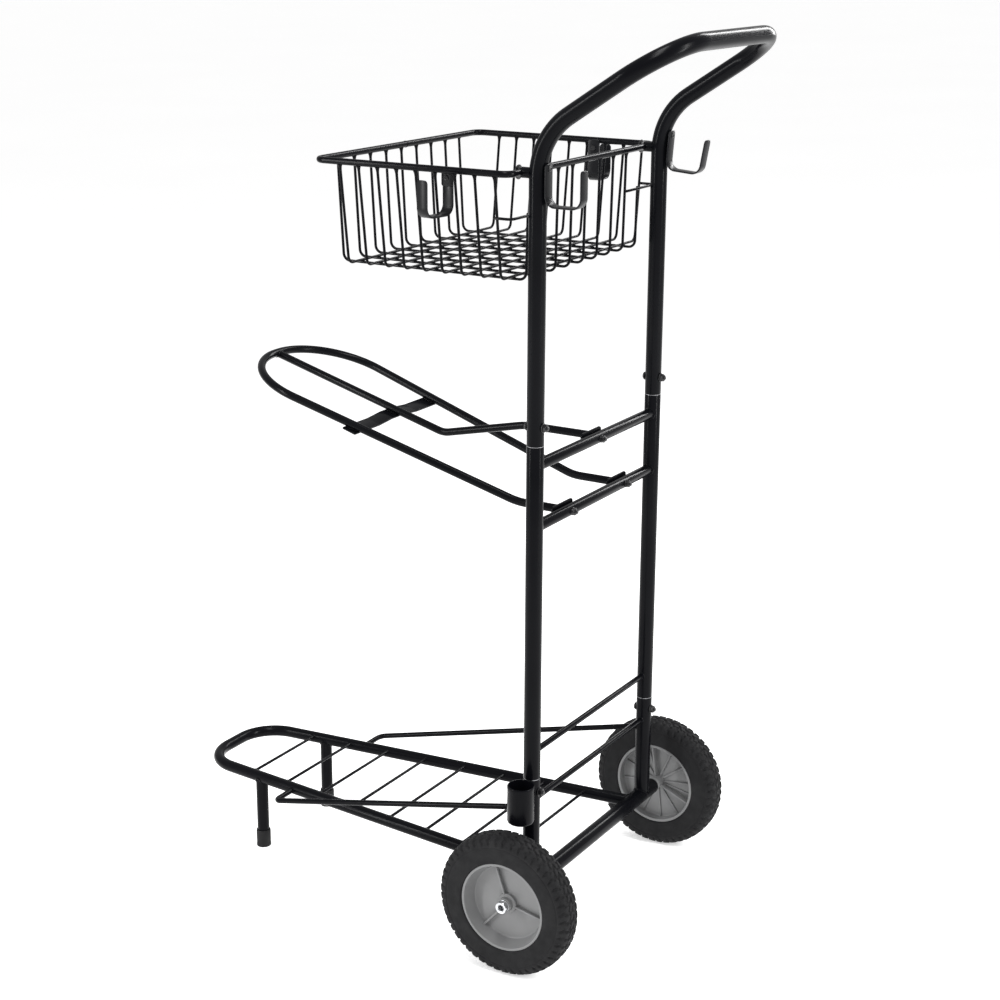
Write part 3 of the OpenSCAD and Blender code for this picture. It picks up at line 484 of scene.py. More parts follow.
def piece(name, draw, mat, slot, body="frame", replaces=None, angle=32):
    """Makes one piece from a drawing function, on a body, for a CAD node of the same name."""
    bm = bmesh.new()
    draw(bm)
    bmesh.ops.recalc_face_normals(bm, faces=bm.faces)
    bm.transform(STAND)
    me = bpy.data.meshes.new(name)
    bm.to_mesh(me)
    bm.free()
    me.materials.append(mat)
    me.shade_smooth()
    me.set_sharp_from_angle(angle=math.radians(angle))
    ob = bpy.data.objects.new(name + "_look", me)
    bpy.context.scene.collection.objects.link(ob)
    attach(ob, body)
    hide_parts(*([name] if replaces is None else replaces))
    return ob


COAT = "black_powder_coat"


def black(name, draw):
    piece(name, draw, PAINT, COAT)


# ---- base ----

def rail_x(reach):
    return TRAY_REAR + (TRAY_FRONT - TRAY_REAR) * reach / TRAY_REACH


RAIL_DIR = {s: V(s * (TRAY_FRONT - TRAY_REAR), -TRAY_REACH, 0) for s in SIDES}


def draw_axle_tube(bm):
    tube(bm, [V(-AXLE_TUBE_HALF, 0, 0), V(AXLE_TUBE_HALF, 0, 0)], [], AXLE_TUBE_R, 1.0, 48)


black("axle_tube", draw_axle_tube)


def draw_plugs(bm):
    profile = [(5.2, -20), (10.3, -20), (10.3, -0.2), (12.1, -0.2), (12.2, 0.3), (12.2, 1.4), (11.7, 2.4),
               (10.6, 3), (5.6, 3), (5.2, 2.6)]
    for s in SIDES:
        lathe(bm, profile, on((s * AXLE_TUBE_HALF, 0, 0), (s, 0, 0)), 48, closed=True)


piece("axle_plugs", draw_plugs, PLUG, "black_plug")


def draw_base_post(s):
    def draw(bm):
        tube(bm, [V(s * POST_X, 0, 5), V(s * POST_X, 0, LOWER_JOINT - JOINT_GAP)], [], POST_R, 0.7, 48)
        weld(bm, V(s * POST_X, 0, 60), (0, 0, -1), POST_R, V(0, 0, 0), (1, 0, 0), AXLE_TUBE_R, 1.7, 11 + s)
    return draw


for s in SIDES:
    black("base_post_" + SIDE_NAME[s], draw_base_post(s))


def draw_cross(z, r, bead, seed):
    def draw(bm):
        tube(bm, [V(-POST_X + 4, 0, z), V(POST_X - 4, 0, z)], [], r, 0.5, 36)
        for s in SIDES:
            weld(bm, V(0, 0, z), (s, 0, 0), r, V(s * POST_X, 0, 0), (0, 0, 1), POST_R, bead, seed + s)
    return draw


black("base_cross_rod", draw_cross(BASE_ROD_Z, ROD_R, 1.25, 21))
black("frame_cross_rod", draw_cross(FRAME_ROD_Z, ROD_R, 1.25, 24))
black("lower_cross_tube", draw_cross(RACK_Z, CROSS_R, 1.5, 27))
black("upper_cross_tube", draw_cross(RIDGE_Z, CROSS_R, 1.5, 30))


def draw_tray_loop(bm):
    plan = [(TRAY_REAR, 0), (TRAY_FRONT, -TRAY_REACH), (-TRAY_FRONT, -TRAY_REACH), (-TRAY_REAR, 0)]
    tube(bm, [V(x, y, 0) for x, y in plan], [TRAY_BEND] * 2, TRAY_R, 0.8, 40, step=3)
    for s in SIDES:
        weld(bm, V(s * rail_x(80), -80, 0), (s * (TRAY_REAR - TRAY_FRONT), TRAY_REACH, 0), TRAY_R,
             V(0, 0, 0), (1, 0, 0), AXLE_TUBE_R, 1.6, 33 + s)


black("tray_loop", draw_tray_loop)


def draw_tray_rods(bm):
    z = 4
    for i in range(TRAY_RODS):
        reach = TRAY_ROD_FIRST + i * TRAY_ROD_PITCH
        half = rail_x(reach)
        tube(bm, [V(-half + 3, -reach, z), V(half - 3, -reach, z)], [], TRAY_ROD_R, 0.4, 20)
        for s in SIDES:
            weld(bm, V(0, -reach, z), (s, 0, 0), TRAY_ROD_R, V(s * half, -reach, 0), RAIL_DIR[s], TRAY_R,
                 1.05, 40 + i * 2 + s, 32)


black("tray_rods", draw_tray_rods)


def draw_guard(s):
    def draw(bm):
        rail = V(s * rail_x(GUARD_REACH), -GUARD_REACH, 0)
        corner, end = V(s * GUARD_HALF, -GUARD_REACH, 0), V(s * (POST_X - 6), -6, GUARD_TOP)
        tube(bm, [rail + V(s * 2, 0, 0), corner, end], [12], ROD_R, 0.5, 28)
        weld(bm, V(s * 140, -GUARD_REACH, 0), (-s, 0, 0), ROD_R, rail, RAIL_DIR[s], TRAY_R, 1.25, 60 + s, 48)
        direction = (end - corner).normalized()
        weld(bm, end - direction * 60, direction, ROD_R, V(s * POST_X, 0, 0), (0, 0, 1), POST_R, 1.2, 62 + s, 48)
    return draw


for s in SIDES:
    black("side_guard_" + SIDE_NAME[s], draw_guard(s))

LEG_FLOOR = -(LEG_REACH * math.sin(LEAN) + WHEEL_R) / math.cos(LEAN)


def draw_leg(s):
    def draw(bm):
        x = s * rail_x(LEG_REACH)
        tube(bm, [V(x, -LEG_REACH, -3), V(x, -LEG_REACH, LEG_FLOOR + 5)], [], LEG_R, 0.6, 40)
        weld(bm, V(x, -LEG_REACH, -60), (0, 0, 1), LEG_R, V(x, -LEG_REACH, 0), RAIL_DIR[s], TRAY_R, 1.5, 70 + s)
    return draw


def draw_foot(s):
    def draw(bm):
        profile = [(0, -1.5), (9.4, -1.5), (11.2, -0.6), (12.0, 1.2), (12.05, 4), (11.8, 5), (11.8, 9), (11.95, 16),
                   (12, 27), (11.75, 29.2), (11.2, 30), (10.1, 29.6), (10.05, 4.2), (0, 4.2)]
        lathe(bm, profile, on((s * rail_x(LEG_REACH), -LEG_REACH, LEG_FLOOR)), 48)
    return draw


for s in SIDES:
    side = SIDE_NAME[s]
    black("leg_" + side, draw_leg(s))
    cap = piece("foot_cap_" + side, draw_foot(s), FOOT, "rubber_foot")
    # the cap's worn sole is flat on the floor, though the leg leans
    for v in cap.data.vertices:
        v.co.z = max(v.co.z, 0)

CUP_X = POST_X + POST_R + 19.5


def draw_cup(bm):
    profile = [(2.5, -5), (3.9, -5), (4.5, -4.3), (4.5, -0.6), (5.2, 0), (15.5, 0), (17.6, 0.6), (19.3, 2.2),
               (20, 4.6), (20, 53.5), (20.25, 55), (20.25, 58), (19.8, 58.8), (19.2, 59), (18.6, 58.8),
               (18.35, 58), (18.35, 6), (17.6, 3.6), (15.6, 2.5), (3, 2.5), (2.5, 2)]
    lathe(bm, profile, on((CUP_X, 0, CUP_Z)), 72, closed=True)
    for y in SIDES:
        x = POST_X + 11.9
        seam(bm, V(x, y * 4.6, CUP_Z + 5), V(x, y * 4.6, CUP_Z + CUP_H - 4), 1.5, 80 + y)


black("whip_cup", draw_cup)


# ---- uprights, handle and joints ----

def draw_upright(s):
    ends = [V(s * POST_X, 0, LOWER_JOINT + JOINT_GAP), V(s * POST_X, 0, UPPER_JOINT - JOINT_GAP)]
    return lambda bm: tube(bm, ends, [], POST_R, 0.7, 48)


def draw_swages(bm):
    """The swaged ends of the uprights, whose light steel colour is a painted highlight: a thin bright line in each
    joint.
    """
    for s in SIDES:
        for z in (LOWER_JOINT, UPPER_JOINT):
            tube(bm, [V(s * POST_X, 0, z - 12), V(s * POST_X, 0, z + 12)], [], 12.1, 0.5, 48)


for s in SIDES:
    black("upright_" + SIDE_NAME[s], draw_upright(s))

# The swages' light steel paints the highlight along each joint.
piece("joint_swages", draw_swages, SWAGE_HIGHLIGHT_METAL, "zinc_steel", replaces=())


def draw_handle(bm):
    side = [(0, UPPER_JOINT + JOINT_GAP), (0, HANDLE_TOP), (HANDLE_REACH, GRIP_Z)]
    corners = [V(POST_X, y, z) for y, z in side] + [V(-POST_X, y, z) for y, z in side[::-1]]
    tube(bm, corners, [HANDLE_BEND, GRIP_BEND, GRIP_BEND, HANDLE_BEND], POST_R, 0.7, 48, step=2.5)


black("handle_tube", draw_handle)

JOINT_SPOTS = [(s * POST_X, z) for s in SIDES for z in (LOWER_JOINT - 20, UPPER_JOINT + 27)]


def draw_joint_bolts(bm):
    for x, z in JOINT_SPOTS:
        dome(bm, on((x, -POST_R - 1.2, z), (0, -1, 0)), 6, 3.6, 2.2)
        thread(bm, on((x, 0, z), (0, 1, 0)), 3, POST_R + 1.2 + 5 + 2.5, POST_R)


def draw_joint_washers(bm):
    for x, z in JOINT_SPOTS:
        washer(bm, on((x, -POST_R - 1.2, z), (0, 1, 0)), 6.75, 3.2, 1.4)
        washer(bm, on((x, POST_R - 0.2, z), (0, 1, 0)), 6.75, 3.2, 1.4)


def draw_joint_nuts(bm):
    for i, (x, z) in enumerate(JOINT_SPOTS):
        hex_nut(bm, on((x, POST_R + 1.2, z), (0, 1, 0), i * 0.4), 10, 5, 2.95)


piece("joint_bolts", draw_joint_bolts, BOLT, COAT)
piece("joint_washers", draw_joint_washers, BOLT, COAT)
piece("joint_nuts", draw_joint_nuts, BOLT, COAT)

# ---- saddle rack ----

RACK_ANGLE = math.atan2(RACK_RISE, RACK_REACH - RACK_BEND)
RACK_END = CROSS_R + PLATE_T
FACE_FRONT = Matrix.Rotation(math.radians(90), 4, "X")
FACE_BACK = Matrix.Rotation(math.radians(-90), 4, "X")


def rack_share(reach):
    return (reach - RACK_BEND) / (RACK_REACH - RACK_BEND)


def rack_x(reach):
    return RACK_REAR + (RACK_FRONT - RACK_REAR) * rack_share(reach)


def rack_z(reach):
    return RACK_Z + RACK_RISE * rack_share(reach)


def draw_rack_loop(bm):
    side = [(RACK_REAR, -RACK_END + 1, RACK_Z), (RACK_REAR, -RACK_BEND, RACK_Z),
            (RACK_FRONT, -RACK_REACH, rack_z(RACK_REACH))]
    corners = [V(x, y, z) for x, y, z in side] + [V(-x, y, z) for x, y, z in side[::-1]]
    tube(bm, corners, [92, 112, 112, 92], RACK_R, 0.5, 36, step=3)
    for s in SIDES:
        ring_seam(bm, V(s * RACK_REAR, -RACK_END, RACK_Z), RACK_R, 1.3, 90 + s)


def ring_seam(bm, at, r, bead, seed):
    """A weld round the end of a bar on a plate that faces -Y."""
    rng = random.Random(seed)
    count = 48
    path = circle(Matrix.Translation(at) @ FACE_FRONT, r, 0, count)
    radii = [bead * (1 + 0.1 * math.sin(k * 1.2) + 0.06 * rng.uniform(-1, 1)) for k in range(count)]
    sweep(bm, path, radii, 8, closed=True)


black("rack_loop", draw_rack_loop)

RIDGE_NOSE = V(0, -RACK_REACH, rack_z(RACK_REACH) - 2)
RIDGE_DIP = V(0, -RIDGE_DIP_REACH, RACK_Z + RIDGE_DIP_RISE)
RIDGE_REAR_Z = RIDGE_Z + 3


def draw_ridge(bm):
    level, end = V(0, -RIDGE_LEVEL_REACH, RIDGE_REAR_Z), V(0, -RACK_END + 1, RIDGE_REAR_Z)
    tube(bm, [RIDGE_NOSE + V(0, 2, 0), RIDGE_DIP, level, end], [40, 120], RIDGE_R, 0.5, 36, step=3)
    ring_seam(bm, V(0, -RACK_END, RIDGE_REAR_Z), RIDGE_R, 1.3, 95)
    direction = (RIDGE_NOSE - RIDGE_DIP).normalized()
    nose = V(0, -RACK_REACH, rack_z(RACK_REACH))
    weld(bm, RIDGE_NOSE - direction * 60, direction, RIDGE_R, nose, (1, 0, 0), RACK_R, 1.3, 96)


black("rack_ridge_bar", draw_ridge)


def draw_rack_strap(bm):
    share = (STRAP_REACH - RIDGE_DIP_REACH) / (RACK_REACH - RIDGE_DIP_REACH)
    ridge_here = RIDGE_DIP.z + (RIDGE_NOSE.z - RIDGE_DIP.z) * share
    low = -RACK_R - STRAP_T / 2
    high = (ridge_here - rack_z(STRAP_REACH)) * math.cos(RACK_ANGLE) - RIDGE_R - STRAP_T / 2
    side = [(rack_x(STRAP_REACH) + 12, low), (52, low), (18, high)]
    path = bent([V(-x, 0, z) for x, z in side] + [V(x, 0, z) for x, z in side[::-1]], [7] * 4, 8)
    part = bmesh.new()
    ribbon(part, path, (0, 1, 0), STRAP_W / 2, STRAP_T, 3)
    rail = (RACK_FRONT - RACK_REAR) / math.hypot(RACK_REACH - RACK_BEND, RACK_RISE)
    half, weld_z = 10, low + 1.9
    for s in SIDES:
        for inner in SIDES:
            x = s * rack_x(STRAP_REACH) + s * inner * 3.4
            front, rear = V(x + s * half * rail, -half, weld_z), V(x - s * half * rail, half, weld_z)
            seam(part, front, rear, 1.2, 100 + s + 3 * inner)
        seam(part, V(s * 3.3, -half, high + 1.8), V(s * 3.3, half, high + 1.8), 1.1, 110 + s)
    merge(bm, part, Matrix.Translation(V(0, -STRAP_REACH, rack_z(STRAP_REACH)))
          @ Matrix.Rotation(-RACK_ANGLE, 4, "X"))


black("rack_strap", draw_rack_strap)

RACK_SPOTS = [(-RACK_REAR, RACK_Z), (RACK_REAR, RACK_Z), (0, RIDGE_Z)]


def draw_end_plates(bm):
    for x, z in RACK_SPOTS:
        place = Matrix.Translation(V(x, -RACK_END, z)) @ FACE_BACK
        slab(bm, round_rect(PLATE_L, PLATE_H, 5), 0, PLATE_T, place, 0.5)


def draw_rack_studs(bm):
    for x, z in RACK_SPOTS:
        thread(bm, on((x, 0, z), (0, 1, 0)), 3, CROSS_R + 8, -CROSS_R)


def draw_rack_nuts(bm):
    for i, (x, z) in enumerate(RACK_SPOTS):
        place = on((x, CROSS_R - 0.2, z), (0, 1, 0), 0.3 + i * 0.5)
        washer(bm, on((x, CROSS_R - 0.7, z), (0, 1, 0)), 6.0, 3.1, 1.0)
        hex_nut(bm, place, 10, 5, 2.95)


black("rack_end_plates", draw_end_plates)
piece("rack_studs", draw_rack_studs, BOLT, COAT)
piece("rack_nuts", draw_rack_nuts, BOLT, COAT)


# ---- basket ----

def side_x(h):
    return RIM_X - SIDE_TAPER * (1 - h / BASKET_H)


def rear_y(h):
    return RIM_REAR - REAR_TAPER * (1 - h / BASKET_H)


def draw_rim(bm):
    plan = [(0, RIM_FRONT), (RIM_X, RIM_FRONT), (RIM_X, RIM_REAR), (-RIM_X, RIM_REAR), (-RIM_X, RIM_FRONT),
            (0, RIM_FRONT)]
    sweep(bm, bent([V(x, y, RIM_Z) for x, y in plan], [15] * 4, 6)[:-1], RIM_R, 28, closed=True)
    butt_joint = circle(on((-11, RIM_FRONT, RIM_Z), (1, 0, 0)), RIM_R + 0.15, 0, 28)
    sweep(bm, butt_joint, 0.35, 6, closed=True)


black("basket_rim", draw_rim)

UNDER_RIM = BASKET_H - RIM_R + 0.6
CROSS_Y = [CROSS_FIRST - CROSS_PITCH * i for i in range(CROSS_WIRES)]
LONG_STEPS = range(-LONG_EACH_SIDE, LONG_EACH_SIDE + 1)


def draw_long_wires(bm):
    for i in LONG_STEPS:
        x = i * LONG_PITCH
        outer = abs(i) == LONG_EACH_SIDE
        h = CORNER_H + 2.6 if outer else UNDER_RIM
        corners = [V(x, RIM_FRONT, FLOOR_Z + UNDER_RIM), V(x, RIM_FRONT + FRONT_TAPER, FLOOR_Z),
                   V(x, RIM_REAR - REAR_TAPER, FLOOR_Z), V(x, rear_y(h), FLOOR_Z + h)]
        tube(bm, corners, [WIRE_BEND] * 2, WIRE_R, 0.4, 18, flare=0 if outer else 0.85, step=7)
        blob(bm, V(x, RIM_FRONT, FLOOR_Z + UNDER_RIM), (3.1, 3.4, 1.9))
        if not outer:
            blob(bm, V(x, RIM_REAR, FLOOR_Z + UNDER_RIM), (3.1, 3.4, 1.9))


def draw_cross_wires(bm):
    bottom = FLOOR_Z + 2 * WIRE_R - 0.1
    for y in CROSS_Y:
        corners = [V(-RIM_X, y, FLOOR_Z + UNDER_RIM), V(-RIM_X + SIDE_TAPER, y, bottom),
                   V(RIM_X - SIDE_TAPER, y, bottom), V(RIM_X, y, FLOOR_Z + UNDER_RIM)]
        tube(bm, corners, [WIRE_BEND] * 2, WIRE_R, 0.4, 18, flare=0.85, step=7)
        for s in SIDES:
            blob(bm, V(s * RIM_X, y, FLOOR_Z + UNDER_RIM), (3.4, 3.1, 1.9))
        for i in LONG_STEPS:
            blob(bm, V(i * LONG_PITCH, y, FLOOR_Z + 1.95), (2.35, 2.35, 1.5), 8)


def draw_corner_wires(bm):
    x, y, z = side_x(CORNER_H) + 3.9, rear_y(CORNER_H) + 3.9, FLOOR_Z + CORNER_H
    for s in SIDES:
        plan = [(s * x, CROSS_Y[0] - 2.4), (s * x, y), (s * 120.6, y)]
        tube(bm, [V(*p, z) for p in plan], [9], WIRE_R, 0.5, 18, step=7)
        for p in (V(s * (x - 1.95), CROSS_Y[0], z), V(s * 164, y - 1.95, z), V(s * 123, y - 1.95, z)):
            blob(bm, p, (2.2, 2.2, 2.2))


black("basket_long_wires", draw_long_wires)
black("basket_cross_wires", draw_cross_wires)
black("basket_corner_wires", draw_corner_wires)


def draw_spacers(bm):
    for s in SIDES:
        tube(bm, [V(s * POST_X, RIM_REAR - 0.5, RIM_Z), V(s * POST_X, -7, RIM_Z)], [], 7.5, 0.8, 40)


def draw_basket_bolts(bm):
    for s in SIDES:
        place = on((s * POST_X, RIM_REAR - RIM_R + 0.4, RIM_Z), (0, -1, 0))
        dome(bm, place, 10, 4, 2.4)
        lathe(bm, [(0, -8), (2.4, -8), (2.4, 0.5), (0, 0.5)], place, 20)


black("basket_spacers", draw_spacers)
piece("basket_bolts", draw_basket_bolts, BOLT, COAT)


# ---- hooks ----

def post_rear(z):
    """Y of the rear of the handle's legs at a height, which the bend moves back."""
    start = HANDLE_TOP - HANDLE_BEND * math.tan(math.atan2(HANDLE_REACH, GRIP_Z - HANDLE_TOP) / 2)
    r = POST_R * 1.0124
    return POST_R if z < start else HANDLE_BEND - math.sqrt((HANDLE_BEND - r) ** 2 - (z - start) ** 2)


def post_hook_place(s):
    top = RIM_Z + (14 if s > 0 else 26)
    tilt = 0 if s > 0 else math.radians(4.5)
    return (Matrix.Translation(V(s * POST_X, post_rear(top) + 1.35, top)) @ Matrix.Rotation(-tilt, 4, "X")
            @ Matrix.Rotation(math.radians(90), 4, "Z"))


HOOK_RIM_Y = CROSS_Y[0] - 2.5 * CROSS_PITCH


def rim_hook_place(s):
    mirror = Matrix.Diagonal((s, 1, 1, 1))
    x = RIM_X - RIM_R - 1.22 - 2.6
    return mirror @ Matrix.Translation(V(x, HOOK_RIM_Y, RIM_Z + 2)) @ Matrix.Rotation(math.radians(-8), 4, "Z")


def draw_hook(place, leg_h, splay=0):
    def draw(bm):
        outline = [(0, 0), (0, -leg_h), (HOOK_DEPTH, -leg_h), (HOOK_DEPTH + splay, -leg_h + HOOK_TIP)]
        ribbon(bm, bent([V(x, 0, z) for x, z in outline], [HOOK_BEND] * 2, 5), (0, 1, 0), HOOK_W / 2, HOOK_T)
        bm.transform(place)
    return draw


def draw_post_screws(bm):
    for s in SIDES:
        place = post_hook_place(s) @ on((1.2, 0, -7), (1, 0, 0))
        dome(bm, place, 4, 2.5, 1.5)
        lathe(bm, [(0, -12), (1.9, -11), (1.9, 0.5), (0, 0.5)], place, 20)


def draw_tabs(bm):
    for s in SIDES:
        top = rim_hook_place(s)
        place = top @ Matrix.Translation(V(1.35, 0, -12.5)) @ Matrix.Rotation(math.radians(90), 4, "Y")
        slab(bm, round_rect(25, HOOK_W, 3), 0, HOOK_T, place, 0.4)
        for z in (-1.2, -7.2):
            seam(bm, top @ V(4.3, -7.5, z), top @ V(4.3, 7.5, z), 1.3, 120 + s + round(z))


def draw_rim_screws(bm):
    for s in SIDES:
        top = rim_hook_place(s)
        place = top @ on((3.8, 0, -13), (1, 0, 0))
        dome(bm, place, 4, 2.4, 1.5)
        lathe(bm, [(0, -8.6), (1.6, -8.6), (1.95, -8), (1.95, 0.5), (0, 0.5)], place, 20)
        hex_nut(bm, top @ on((-4.25, 0, -13), (1, 0, 0)), 6.8, 3, 1.95)


SATIN = (STRAP, COAT)
piece("hook_post_left", draw_hook(post_hook_place(1), POST_HOOK_H), *SATIN)
piece("hook_post_right", draw_hook(post_hook_place(-1), POST_HOOK_H, 5), *SATIN)
piece("hook_rim_left", draw_hook(rim_hook_place(1), RIM_HOOK_H), *SATIN)
piece("hook_rim_right", draw_hook(rim_hook_place(-1), RIM_HOOK_H), *SATIN)
piece("hook_rim_tabs", draw_tabs, *SATIN)
piece("hook_post_screws", draw_post_screws, BOLT, COAT)
piece("hook_rim_screws", draw_rim_screws, BOLT, COAT)


# ---- axle ----

def draw_axle_rod(bm):
    half, bore = AXLE_HALF, 4.4
    profile = [(0, half - 16), (bore, half - 16), (bore, half - 0.6), (4.6, half), (4.8, half)]
    profile += [(AXLE_R, half - 0.4)]
    profile += [(r, -z) for r, z in profile[::-1]]
    lathe(bm, profile, on((0, 0, 0), (1, 0, 0)), 40)


def draw_axle_washers(bm):
    for s in SIDES:
        for x in WASHER_X:
            washer(bm, on((s * x, 0, 0), (s, 0, 0)), 9, AXLE_R + 0.1, 1.2)


def draw_axle_nuts(bm):
    for s in SIDES:
        hex_nut(bm, on((s * NUT_X, 0, 0), (s, 0, 0), 0.35), 17, 8, AXLE_R + 0.02)


piece("axle_rod", draw_axle_rod, ZINC, "zinc_steel")
piece("axle_washers", draw_axle_washers, ZINC, "zinc_steel")
piece("axle_nuts", draw_axle_nuts, ZINC, "zinc_steel")


# ---- wheels ----

BLOCKS = 50
TREAD_DEPTH = 2.2
CROWN_HALF = 8.5


def smooth(x):
    """Eases from 0 to 1."""
    x = min(1, max(0, x))
    return x * x * (3 - 2 * x)


def tread(theta, a, jitter):
    """1 on top of a tread block and 0 in a groove, at an angle and a signed distance from the middle."""
    side = 1 if a >= 0 else -1
    a = abs(a)
    turn = theta / (2 * math.pi) * BLOCKS
    if a > CROWN_HALF:
        u = turn + (0.5 if side < 0 else 0) + 0.10 * math.sin(a * 0.9)
        k = int(u) % BLOCKS
        f = u - math.floor(u)
        w = 0.15 + 0.05 * jitter[k]
        if a > 20.2 and k % 2:
            w *= 0.3
        top = smooth((min(f, 1 - f) - w) / 0.09)
    else:
        u = turn + 0.5 + side * 0.25 + a * 0.05
        k = int(u) % BLOCKS
        f = u - math.floor(u)
        top = smooth((min(f, 1 - f) - 0.13 - 0.04 * jitter[k]) / 0.09)
        top *= smooth((a - 0.8 - 0.8 * math.sin(turn * math.pi)) / 0.9 + 0.2)
    zig = CROWN_HALF + 1.3 * math.sin(turn * 2 * math.pi)
    return top * smooth((abs(a - zig) - 0.8) / 0.8)


# Half of the tyre's outline, as (radius, distance from the middle): side wall first, then the tread
TYRE_WALL = [(68.6, 19.0), (68.9, 20.8), (70.0, 21.7), (72, 22), (77, 22.0), (85, 22.0), (91.0, 22.0), (92.7, 21.9),
             (93.4, 21.4), (94.2, 21.4), (94.9, 21.8)]
TYRE_TREAD = [(95.7, 22.0), (97.2, 21.95), (98.8, 21.75), (100.2, 21.4), (101.6, 20.9), (103.0, 20.1),
              (104.3, 19.2), (105.5, 18.1), (106.6, 16.9), (107.5, 15.5), (108.3, 14.0), (108.9, 12.5),
              (109.3, 11.2), (109.5, 10.2), (109.65, 9.3), (109.75, 8.5), (109.8, 7.6), (109.85, 6.8),
              (109.9, 5.6), (109.95, 4.2), (WHEEL_R, 2.8), (WHEEL_R, 1.8), (WHEEL_R, 0.9)]


def draw_tyre(s, seed):
    def draw(bm):
        rng = random.Random(seed)
        jitter = [rng.uniform(-1, 1) for _ in range(BLOCKS)]
        half = [(r, a, False) for r, a in TYRE_WALL] + [(r, a, True) for r, a in TYRE_TREAD]
        line = half + [(WHEEL_R, 0, True)] + [(r, -a, t) for r, a, t in half[::-1]]
        normals = []
        for i in range(len(line)):
            b, c = line[max(0, i - 1)], line[min(len(line) - 1, i + 1)]
            t = Vector((c[0] - b[0], c[1] - b[1])).normalized()
            normals.append((-t.y, t.x))
        columns = BLOCKS * 11
        place = Matrix.Diagonal((s, 1, 1, 1)) @ on((TYRE_IN + TYRE_W / 2, 0, 0), (1, 0, 0))
        rings = []
        for (r, a, is_tread), (nr, na) in zip(line, normals):
            ring = []
            for k in range(columns):
                th = 2 * math.pi * k / columns
                d = 0
                if is_tread:
                    fade = smooth((r - 95.5) / 5)
                    d = -TREAD_DEPTH * fade * (1 - tread(th, a, jitter))
                rr, aa = r + nr * d, a + na * d
                ring.append(place @ V(rr * math.cos(th), rr * math.sin(th), aa))
            rings.append(ring)
        skin(bm, rings, closed=True)
    return draw


def fillet(points, radii):
    """Rounds each corner of a closed outline of (radius, height) points by its own radius."""
    out, n, steps = [], len(points), 4
    for i, p in enumerate(points):
        p = Vector(p)
        a, b = Vector(points[i - 1]) - p, Vector(points[(i + 1) % n]) - p
        cut = min(radii[i], a.length * 0.45, b.length * 0.45)
        p0, p1 = p + a.normalized() * cut, p + b.normalized() * cut
        for k in range(steps + 1):
            t = k / steps
            out.append(tuple(p0 * (1 - t) ** 2 + p * 2 * t * (1 - t) + p1 * t * t))
    return out


def draw_hub(s):
    """The rim, web and boss as one turned shape, with three ribs outside and twelve inside."""
    web, bore, boss, ring, wall = 21, 7.5, 11, 15.2, 63.9
    corners = [
        (bore, -3.3, 0.4), (boss, -3.3, 0.8), (boss, web - 3.5, 2), (wall, web - 3.5, 2.5), (wall, 2, 1),
        (HUB_R, 2, 0.8), (HUB_R, 42, 0.8), (64.8, 42, 0.6), (64.2, 40.8, 0.5), (57.6, web, 1.8),
        (ring, web, 1.6), (ring, web + 6, 1), (boss, web + 6, 1.2), (boss, 34.5, 1), (bore, 34.5, 0.4)]
    outline = fillet([(r, z) for r, z, _ in corners], [rounding for _, _, rounding in corners])
    outer_rib = [(14, -1.6), (61.2, -1.5), (61.2, 1.5), (14, 1.6)]
    inner_rib = [(10.5, -1.6), (64.5, -1.3), (64.5, 1.3), (10.5, 1.6)]

    def draw(bm):
        place = Matrix.Diagonal((s, 1, 1, 1)) @ on((TYRE_IN, 0, 0), (1, 0, 0))
        lathe(bm, outline, place, 120, closed=True)
        for k in range(3):
            turn = Matrix.Rotation(math.radians(64 + 120 * k), 4, "Z")
            slab(bm, outer_rib, web - 1, web + 6.2, place @ turn, 0.6)
            slab(bm, outer_rib, web - 5.5, web - 2.5, place @ turn, 0.5)
        for k in range(12):
            turn = Matrix.Rotation(math.radians(52 + 30 * k), 4, "Z")
            depth = 6 if k % 4 else 13
            slab(bm, inner_rib, web - depth, web - 2.5, place @ turn, 0.5)
    return draw


for s in SIDES:
    side = SIDE_NAME[s]
    wheel = side + "_wheel"
    piece("tyre_" + side, draw_tyre(s, 7 + s), TYRE, "tyre", body=wheel, angle=40)
    piece("hub_" + side, draw_hub(s), HUB, "grey_hub", body=wheel, angle=38)
    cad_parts["bush_" + side].material_slots[0].material = ZINC
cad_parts["basket_rivet_nuts"].material_slots[0].material = ZINC

# ---- floor, light and camera ----

floor_mesh = bpy.data.meshes.new("floor")
floor_bm = bmesh.new()
bmesh.ops.create_grid(floor_bm, x_segments=40, y_segments=40, size=90)
floor_bm.to_mesh(floor_mesh)
floor_bm.free()
floor = bpy.data.objects.new("floor", floor_mesh)
bpy.context.scene.collection.objects.link(floor)


def pale(s, links, noise, ramp, spread, bump):
    shade = ramp(noise(0.6, 2, 0.5), (0.3, (0.93, 0.93, 0.93)), (0.7, (0.95, 0.95, 0.95)))
    links.new(shade, s.inputs["Base Color"])
    s.inputs["Roughness"].default_value = 0.9
    s.inputs["Specular IOR Level"].default_value = 0.1
    s.inputs["Emission Color"].default_value = (1, 1, 1, 1)
    s.inputs["Emission Strength"].default_value = 0.40


floor_mesh.materials.append(material("pale_floor", pale))

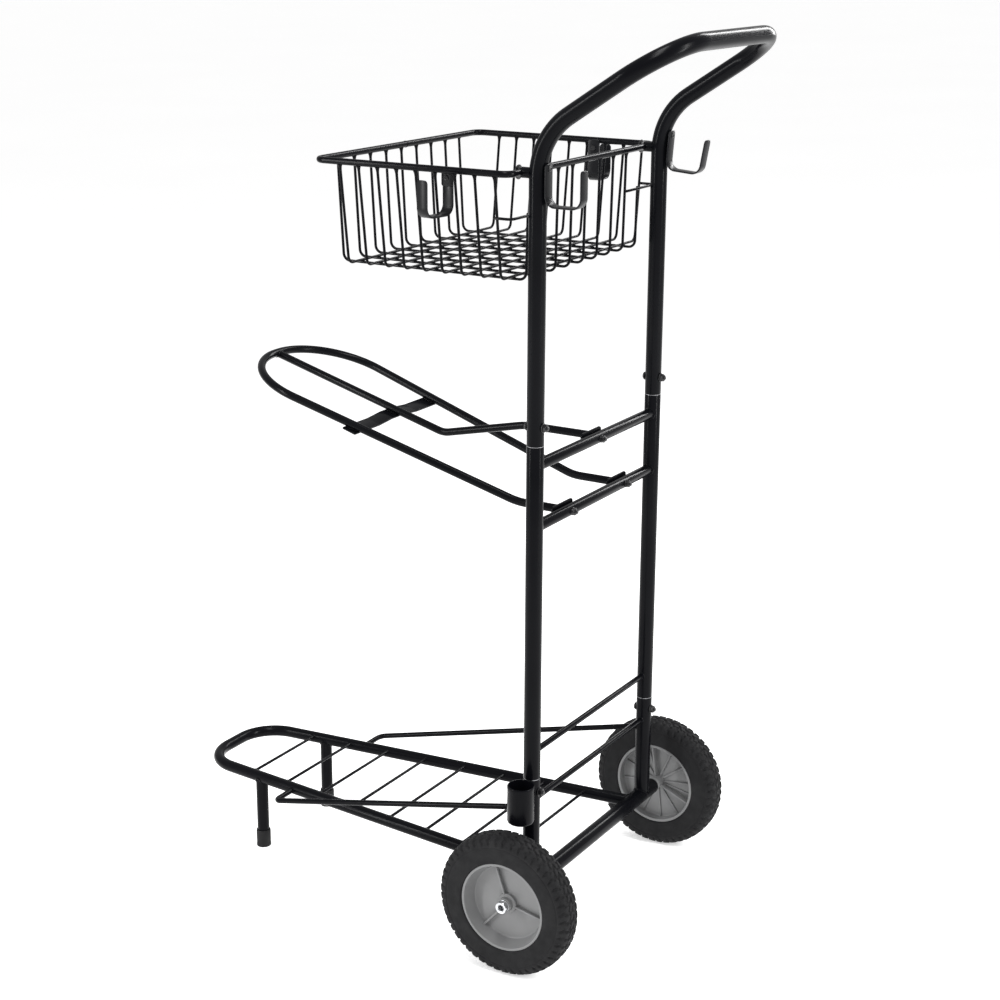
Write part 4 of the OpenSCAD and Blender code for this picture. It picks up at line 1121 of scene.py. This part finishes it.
world = bpy.data.worlds.new("studio")
bpy.context.scene.world = world
world.use_nodes = True
world.node_tree.nodes["Background"].inputs["Color"].default_value = (1, 1, 1, 1)
world.node_tree.nodes["Background"].inputs["Strength"].default_value = 0.62
bpy.context.scene.view_settings.view_transform = "Standard"


def area(name, at, look, size, power):
    light = bpy.data.lights.new(name, "AREA")
    light.shape = "RECTANGLE"
    light.size, light.size_y = size
    light.energy = power
    ob = bpy.data.objects.new(name, light)
    ob.location = at
    ob.rotation_euler = (Vector(look) - Vector(at)).to_track_quat("-Z", "Y").to_euler()
    bpy.context.scene.collection.objects.link(ob)


area("strip_right", (-0.2, 3.2, 1.7), (0, 0, 0.7), (0.3, 2.6), 80)
area("strip_left", (2.6, -2.0, 1.7), (0, 0, 0.7), (0.3, 2.6), 70)
area("strip_back", (-2.6, 0.6, 2.2), (0, 0, 0.7), (0.4, 2.2), 50)
area("strip_top", (0.8, 0.6, 3.4), (0, 0, 0.5), (0.5, 2.4), 60)

# The camera, fitted in the cart's upright frame and then leaned with the cart
CAM_AT = V(2458.586, 1298.051, 1386.739)
CAM_TURN, CAM_PITCH, CAM_ROLL = (math.radians(a) for a in (30.7709, 16.7240, 0.2879))
SENSOR = 36
FOCAL_SHARE = 1.9424244
flat = V(-math.cos(CAM_TURN), -math.sin(CAM_TURN), 0)
forward = flat * math.cos(CAM_PITCH) - V(0, 0, math.sin(CAM_PITCH))
right = forward.cross(V(0, 0, 1)).normalized()
up = right.cross(forward)
rolled_right = right * math.cos(CAM_ROLL) + up * math.sin(CAM_ROLL)
rolled_up = -right * math.sin(CAM_ROLL) + up * math.cos(CAM_ROLL)
turned = STAND.to_3x3() @ Matrix((rolled_right, rolled_up, -forward)).transposed() * 1000
camera_data = bpy.data.cameras.new("camera")
camera_data.sensor_width = SENSOR
camera_data.lens = SENSOR * FOCAL_SHARE
camera_data.clip_end = 300
camera = bpy.data.objects.new("camera", camera_data)
camera.matrix_world = Matrix.Translation(STAND @ CAM_AT) @ turned.to_4x4()
bpy.context.scene.collection.objects.link(camera)
bpy.context.scene.camera = camera

bpy.context.view_layer.update()
